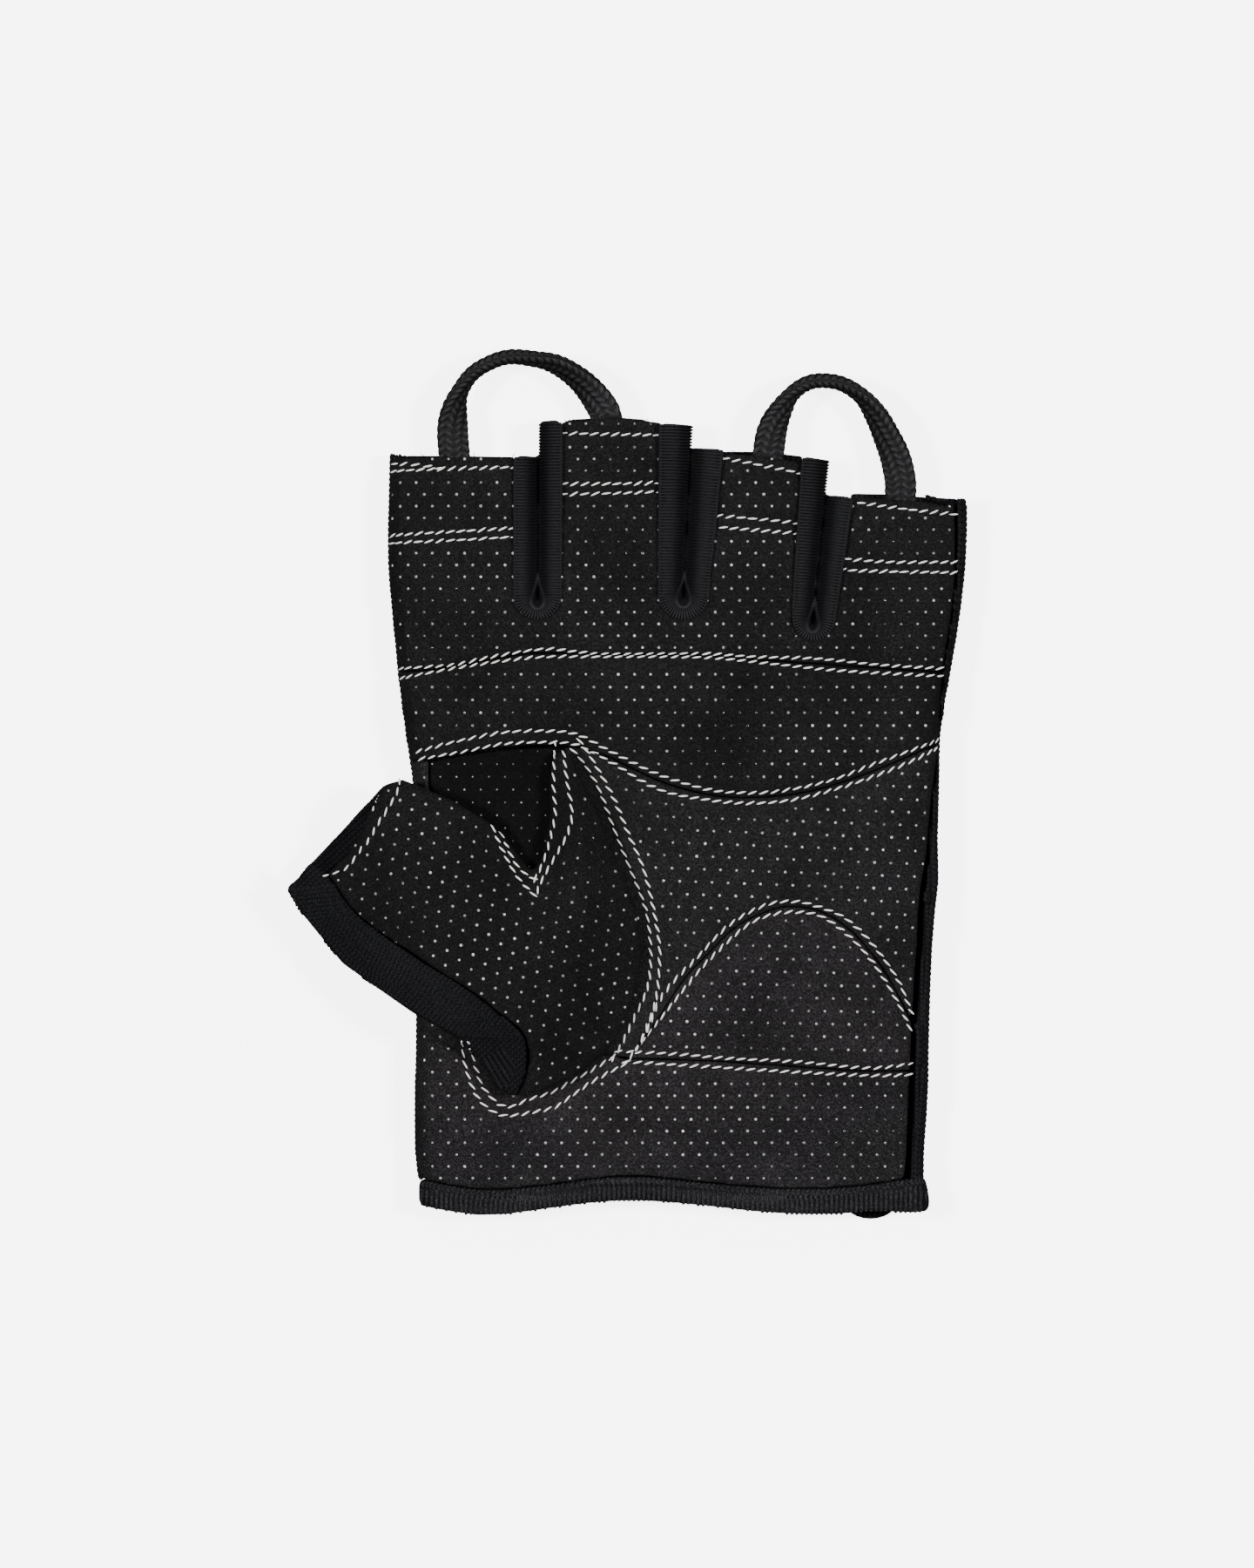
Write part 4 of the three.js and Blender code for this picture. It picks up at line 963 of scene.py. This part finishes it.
side_surface = surface_tree([thumb_side])
inner, outer = evenly(BAND_SEAM, BAND_POINTS), evenly(BAND_EDGE, BAND_POINTS)
rows = [drop(side_surface, inner + (outer - inner) * share)
        for share in np.linspace(0.02, 1.0, BAND_COLUMNS)]
lay_loops("knit_thumb", rows, "knit", knit_yarn, 0.5,
          Pitch=0.82, Length=1.0, Thickness=0.46, Spread=0.2)

# %% Ribs of the binding
RIB_PITCH = 0.88  # mm
CHAIN_WIDTH = 1.2  # mm along the upper edge, where the ribs stop and a chain of loops runs
binding_surface = surface_tree([binding])
low, high = box_of("wrist_binding")


def crossing(x, start, step):
    """The hits on the binding at one x, from its lower edge to its upper edge."""
    hits = drop(binding_surface, [(x, y) for y in np.arange(start, high[1], step)])
    return [hit for hit in hits if hit[0] is not None]


rows = []
for x in np.arange(low[0] + 0.5, high[0] - 0.3, RIB_PITCH):
    hits = crossing(x, low[1] - 0.2, 0.3)
    top = max(place.y for place, _ in hits)
    rows.append([hit for hit in hits if hit[0].y < top - CHAIN_WIDTH * MM])
lay_yarns("binding_ribs", rows, "binding_knit", 0.62, rib_yarn)

chain = []
for x in np.arange(low[0] + 0.8, high[0] - 0.6, 0.5):
    hits = crossing(x, low[1], 0.25)
    chain.append(hits[-3] if len(hits) > 3 else MISSED)
lay_loops("binding_chain", [chain], "binding_knit", rib_yarn, 0.6,
          Pitch=0.9, Length=1.2, Thickness=0.55, Spread=0.24)

# %% The thumb's inner fold
rows = []
for i in range(6):
    start = np.array(spot(576 - 5 * i, 1201 + 3 * i))
    end = np.array(spot(593 - 3.4 * i, 1226 + 7 * i))
    rows.append(drop(side_surface, [start + (end - start) * t for t in np.linspace(0, 1, 9)]))
lay_yarns("thumb_fold_ribs", rows, "knit", 0.75, knit_yarn)

# %% Bottoms and ends of the slits
# A dark yarn closes each valley between two legs. At its end the tape is tucked into a
# drop-shaped fold.
BOTTOM_HEIGHT = 3  # mm
BOTTOM_STOP = 10  # photograph pixels short of the shorter leg's end
DROP_WIDTH = 0.42  # of the slit's half width
DROP_START, DROP_LENGTH = 2.4, 6.5  # mm before the slit's end, and from there up the slit
bottoms, drops = [], []
tape_surface = surface_tree(tapes)
for tip, mouth, tip_half, _, left_end, right_end in SLITS.values():
    share = (tip[1] - max(left_end, right_end) - BOTTOM_STOP) / (tip[1] - mouth[1])
    tip, mouth = np.array(spot(*tip)), np.array(spot(*mouth))
    run = (mouth - tip) * share
    bottoms.append([(Vector((*(tip + run * t), BOTTOM_HEIGHT)) * MM, (0, 0, 1))
                    for t in np.linspace(0, 1, 6)])
    ahead = run / np.linalg.norm(run)
    side = np.array([ahead[1], -ahead[0]])
    plan = []
    for t in np.linspace(-1, 1, 40):
        wide = DROP_WIDTH * tip_half * math.sin(t * math.pi) * (1 - 0.6 * abs(t))
        plan.append(tip + side * wide + ahead * (DROP_LENGTH * abs(t) ** 1.5 - DROP_START))
    drops.append(drop(tape_surface, plan))
lay_yarns("slit_bottoms", bottoms, "ribbed_tape", 1.5, slit_tape)
lay_yarns("slit_folds", drops, "ribbed_tape", 1.1, slit_tape)

# %% Loose ends of yarn at the fingers' cut edges
FINGERS = ((452, 588), (648, 756), (820, 930), (970, 1098))  # where each begins and ends
ENDS = 34  # for each finger
chance = np.random.default_rng(5)
ends_surface = surface_tree([panels["finger_cloth"], back])
rows = []
for left, right in FINGERS:
    for x in chance.uniform(spot(left, 0)[0], spot(right, 0)[0], ENDS):
        place, out = strike(ends_surface, (x, 120, chance.uniform(5, 10)), (0, -1, 0))
        if place is None:
            continue
        way = Vector((chance.normal(0, 0.7), 1, chance.normal(0, 0.5))).normalized()
        side = Vector((chance.normal(0, 0.4), 0, 0))
        reach = chance.uniform(0.4, 1.1) * MM
        rows.append([(place + (way * t + side * t * t) * reach, out) for t in (-0.3, 0.2, 0.6, 1)])
lay_yarns("loose_ends", rows, None, 0.13, knit_yarn)

# %% [markdown]
# ## Stitches
# A stitch row is the same stitch repeated along a curve, which is what Geometry Nodes do best:
# the curve is resampled at the stitch pitch, and one small capsule is set on each point, turned
# along the row and a little to one side.

# %% Stitch tree
nodes, given = geometry_tree("Stitches", {
    "Pitch": 0.002, "Length": 0.0015, "Thickness": 0.0005, "Slant": 0.35, "Wobble": 0.12,
    "Seed": 1, "Thread": bpy.types.Material})
bead = nodes.out("GeometryNodeMeshIcoSphere", {"Radius": 0.5, "Subdivisions": 2}, "Mesh")
size = nodes.vector(given["Length"], given["Thickness"], given["Thickness"])
least = nodes.times(given["Wobble"], -1.0)
wobble = nodes.out("FunctionNodeRandomValue", {
    2: least, 3: given["Wobble"], "Seed": given["Seed"]}, 1, data_type="FLOAT")
swing = nodes.vector(z=nodes.math("ADD", given["Slant"], wobble))
lean = nodes.out("FunctionNodeRotateRotation", {
    "Rotation": turned_to(nodes, nodes.out("GeometryNodeInputTangent"), "X"),
    "Rotate By": nodes.out("FunctionNodeEulerToRotation", {0: swing})}, rotation_space="LOCAL")
row = even_curve(nodes, given, given["Pitch"])
stitches = placed(nodes, row, smoothed(nodes, bead), lean, size)
stitch_tree = end_tree(nodes, stitches, given["Thread"])

# %% Lay the stitches
STITCH = {"Length": 1.8 * MM, "Thickness": 0.34 * MM, "Slant": 0.3, "Thread": stitch_thread}
PITCH, FINGER_PITCH = 1.98, 1.83  # mm
WOBBLE, FINGER_WOBBLE = 0.12, 0.22  # radians
cloth_top = surface_tree([*panels.values(), thumb, thumb_side, gusset])


def laid(rows, lift):
    """Rows on the cloth under them. Places with no cloth are left out."""
    up = Vector((0, 0, lift * MM))
    return [[(place + up, out) for place, out in drop(cloth_top, row) if place is not None]
            for row in rows]


for name, rows in SEAMS.items():
    fingers = name == "fingers"
    stitched = grow(lines_object(f"stitches_{name}", laid(rows, 0.1)), stitch_tree,
                    Pitch=(FINGER_PITCH if fingers else PITCH) * MM,
                    Wobble=FINGER_WOBBLE if fingers else WOBBLE, **STITCH)
    keep(stitched)

# %% [markdown]
# ## Silicone dots
# The dots stand in staggered rows. The tree lays a flat grid over a panel, drops each point onto
# the cloth, leaves out those at a seam or on a rolled edge, and sets one low dome on the others.

# %% Dot tree
nodes, given = geometry_tree("Dots", {
    "Column": 0.00288, "Row": 0.00228, "Turn": 0.0, "Radius": 0.0003, "Height": 0.00016,
    "Reach": 0.2, "Clear": 0.0012, "Seed": 1, "Seams": bpy.types.Object,
    "Silicone": bpy.types.Material})
steps = [nodes.math("FLOOR", nodes.math("DIVIDE", given["Reach"], given[title]))
         for title in ("Column", "Row")]
wide, deep = (nodes.times(count, given[title])
              for count, title in zip(steps, ("Column", "Row")))
across, down = (nodes.math("ADD", count, 1.0) for count in steps)
grid = nodes.out("GeometryNodeMeshGrid", {
    "Size X": wide, "Size Y": deep, "Vertices X": across, "Vertices Y": down}, "Mesh")
# Every second row is moved by half a column.
here = nodes.out("GeometryNodeInputPosition")
from_edge = nodes.scaled(deep, 0.5, nodes.parts(here)[1])
number = nodes.math("ROUND", nodes.math("DIVIDE", from_edge, given["Row"]))
odd = nodes.math("FLOORED_MODULO", number, 2.0)
jump = nodes.times(odd, nodes.times(given["Column"], 0.5))
staggered = moved(nodes, grid, Offset=nodes.vector(x=jump))
laid_out = nodes.out("GeometryNodeTransform", {
    "Geometry": staggered, "Rotation": nodes.vector(z=given["Turn"])})
# The points fall onto the cloth.
above = nodes.out("ShaderNodeVectorMath", {0: here, 1: (0, 0, 0.05)}, operation="ADD")
fall = nodes.add("GeometryNodeRaycast", {
    "Target Geometry": given["Geometry"], "Source Position": above, "Ray Direction": DOWN,
    "Ray Length": 0.2}).outputs
missed = nodes.out("FunctionNodeBooleanMath", {0: fall["Is Hit"]}, operation="NOT")
over = nodes.out("GeometryNodeDeleteGeometry", {"Geometry": laid_out, "Selection": missed})
dropped = moved(nodes, over, Position=fall["Hit Position"])
# Those near a seam or on a steep place go.
seams = nodes.out("GeometryNodeObjectInfo", {"Object": given["Seams"]}, "Geometry")
near = nodes.out("GeometryNodeProximity", {0: seams}, "Distance", target_element="EDGES")
unwanted = nodes.math("MAXIMUM", nodes.math("LESS_THAN", near, given["Clear"]),
                      nodes.math("LESS_THAN", nodes.parts(fall["Hit Normal"])[2], 0.55))
wanted = nodes.out("GeometryNodeDeleteGeometry", {"Geometry": dropped, "Selection": unwanted})
# One dome stands on each of the others.
dome = nodes.out("GeometryNodeMeshUVSphere", {"Segments": 10, "Rings": 6, "Radius": 1.0}, "Mesh")
uneven = nodes.out("FunctionNodeRandomValue", {
    2: 0.88, 3: 1.1, "Seed": given["Seed"]}, 1, data_type="FLOAT")
radius = nodes.times(given["Radius"], uneven)
domes = placed(nodes, wanted, smoothed(nodes, dome), turned_to(nodes, fall["Hit Normal"], "Z"),
               nodes.vector(radius, radius, given["Height"]))
dot_tree = end_tree(nodes, domes, given["Silicone"])

# %% Set the dots
# Each panel's columns, rows and dots' radius in mm, and the turn of its grid in degrees.
DOTTED = {
    "finger_cloth": (2.88, 2.1, 0.26, 0),
    "knuckle_cushion": (2.88, 2.28, 0.26, 0),
    "palm_cloth": (2.88, 2.28, 0.26, -2),
    "heel_cushion": (2.88, 2.28, 0.26, -1),
    "wrist_cloth": (2.88, 2.1, 0.26, 0),
    "thumb_cloth": (2.7, 2.25, 0.26, -38),
    # The dots' radius is also the size of their painted highlight. The gusset's dots are smaller,
    # so less of it shows there, as painted shade in its hollow.
    "gusset_cloth": (2.88, 2.28, 0.18, 0),
}
seam_lines = lines_object("seam_lines", laid(all_rows, 0))
for name, (column, row, radius, degrees) in DOTTED.items():
    dots = new_object(f"dots_{name}", bpy.data.objects[name].data.copy())
    grow(dots, dot_tree, Column=column * MM, Row=row * MM, Turn=math.radians(degrees),
         Radius=radius * MM, Seams=seam_lines, Silicone=dot_painted_highlight)
    keep(dots)
bpy.data.objects.remove(seam_lines)

# %% [markdown]
# ## Floor and light
# A pale floor and two soft boxes, one on each side, with a weak one above the fingers. The floor
# glows for the eye, but it lights nothing from below, so that the cloth stays dark.

# %% Studio
floor_mesh = bpy.data.meshes.new("floor")
form = bmesh.new()
bmesh.ops.create_grid(form, x_segments=1, y_segments=1, size=2)
form.to_mesh(floor_mesh)
form.free()
floor = new_object("floor", floor_mesh)
floor_paint, nodes, shader = start_material("floor_paint")
nodes.fill(shader, {
    "Base Color": (0.9, 0.9, 0.9, 1), "Roughness": 0.9, "Emission Color": (1, 1, 1, 1),
    "Emission Strength": 4.7})
floor.data.materials.append(floor_paint)
floor.visible_diffuse = floor.visible_glossy = False


def soft_box(name, place, size, power):
    """An area light that looks at the glove. Place and size are in metres, power in watts."""
    light = bpy.data.lights.new(name, "AREA")
    light.shape = "RECTANGLE"
    light.size, light.size_y = size
    light.energy = power
    obj = new_object(name, light)
    obj.location = place
    obj.rotation_euler = (-Vector(place)).to_track_quat("-Z", "Y").to_euler()


soft_box("left_box", (-0.78, 0.1, 1.2), (0.19, 0.19), 25)
soft_box("right_box", (0.78, 0.1, 1.2), (0.19, 0.19), 25)
soft_box("top_box", (0.0, 0.85, 1.15), (0.16, 0.12), 3)
world = bpy.data.worlds.new("studio")
world.use_nodes = True
Nodes(world.node_tree).fill(world.node_tree.nodes["Background"], {
    "Color": (1, 1, 1, 1), "Strength": 0.15})
bpy.context.scene.world = world
print("lights:", len(bpy.data.lights))
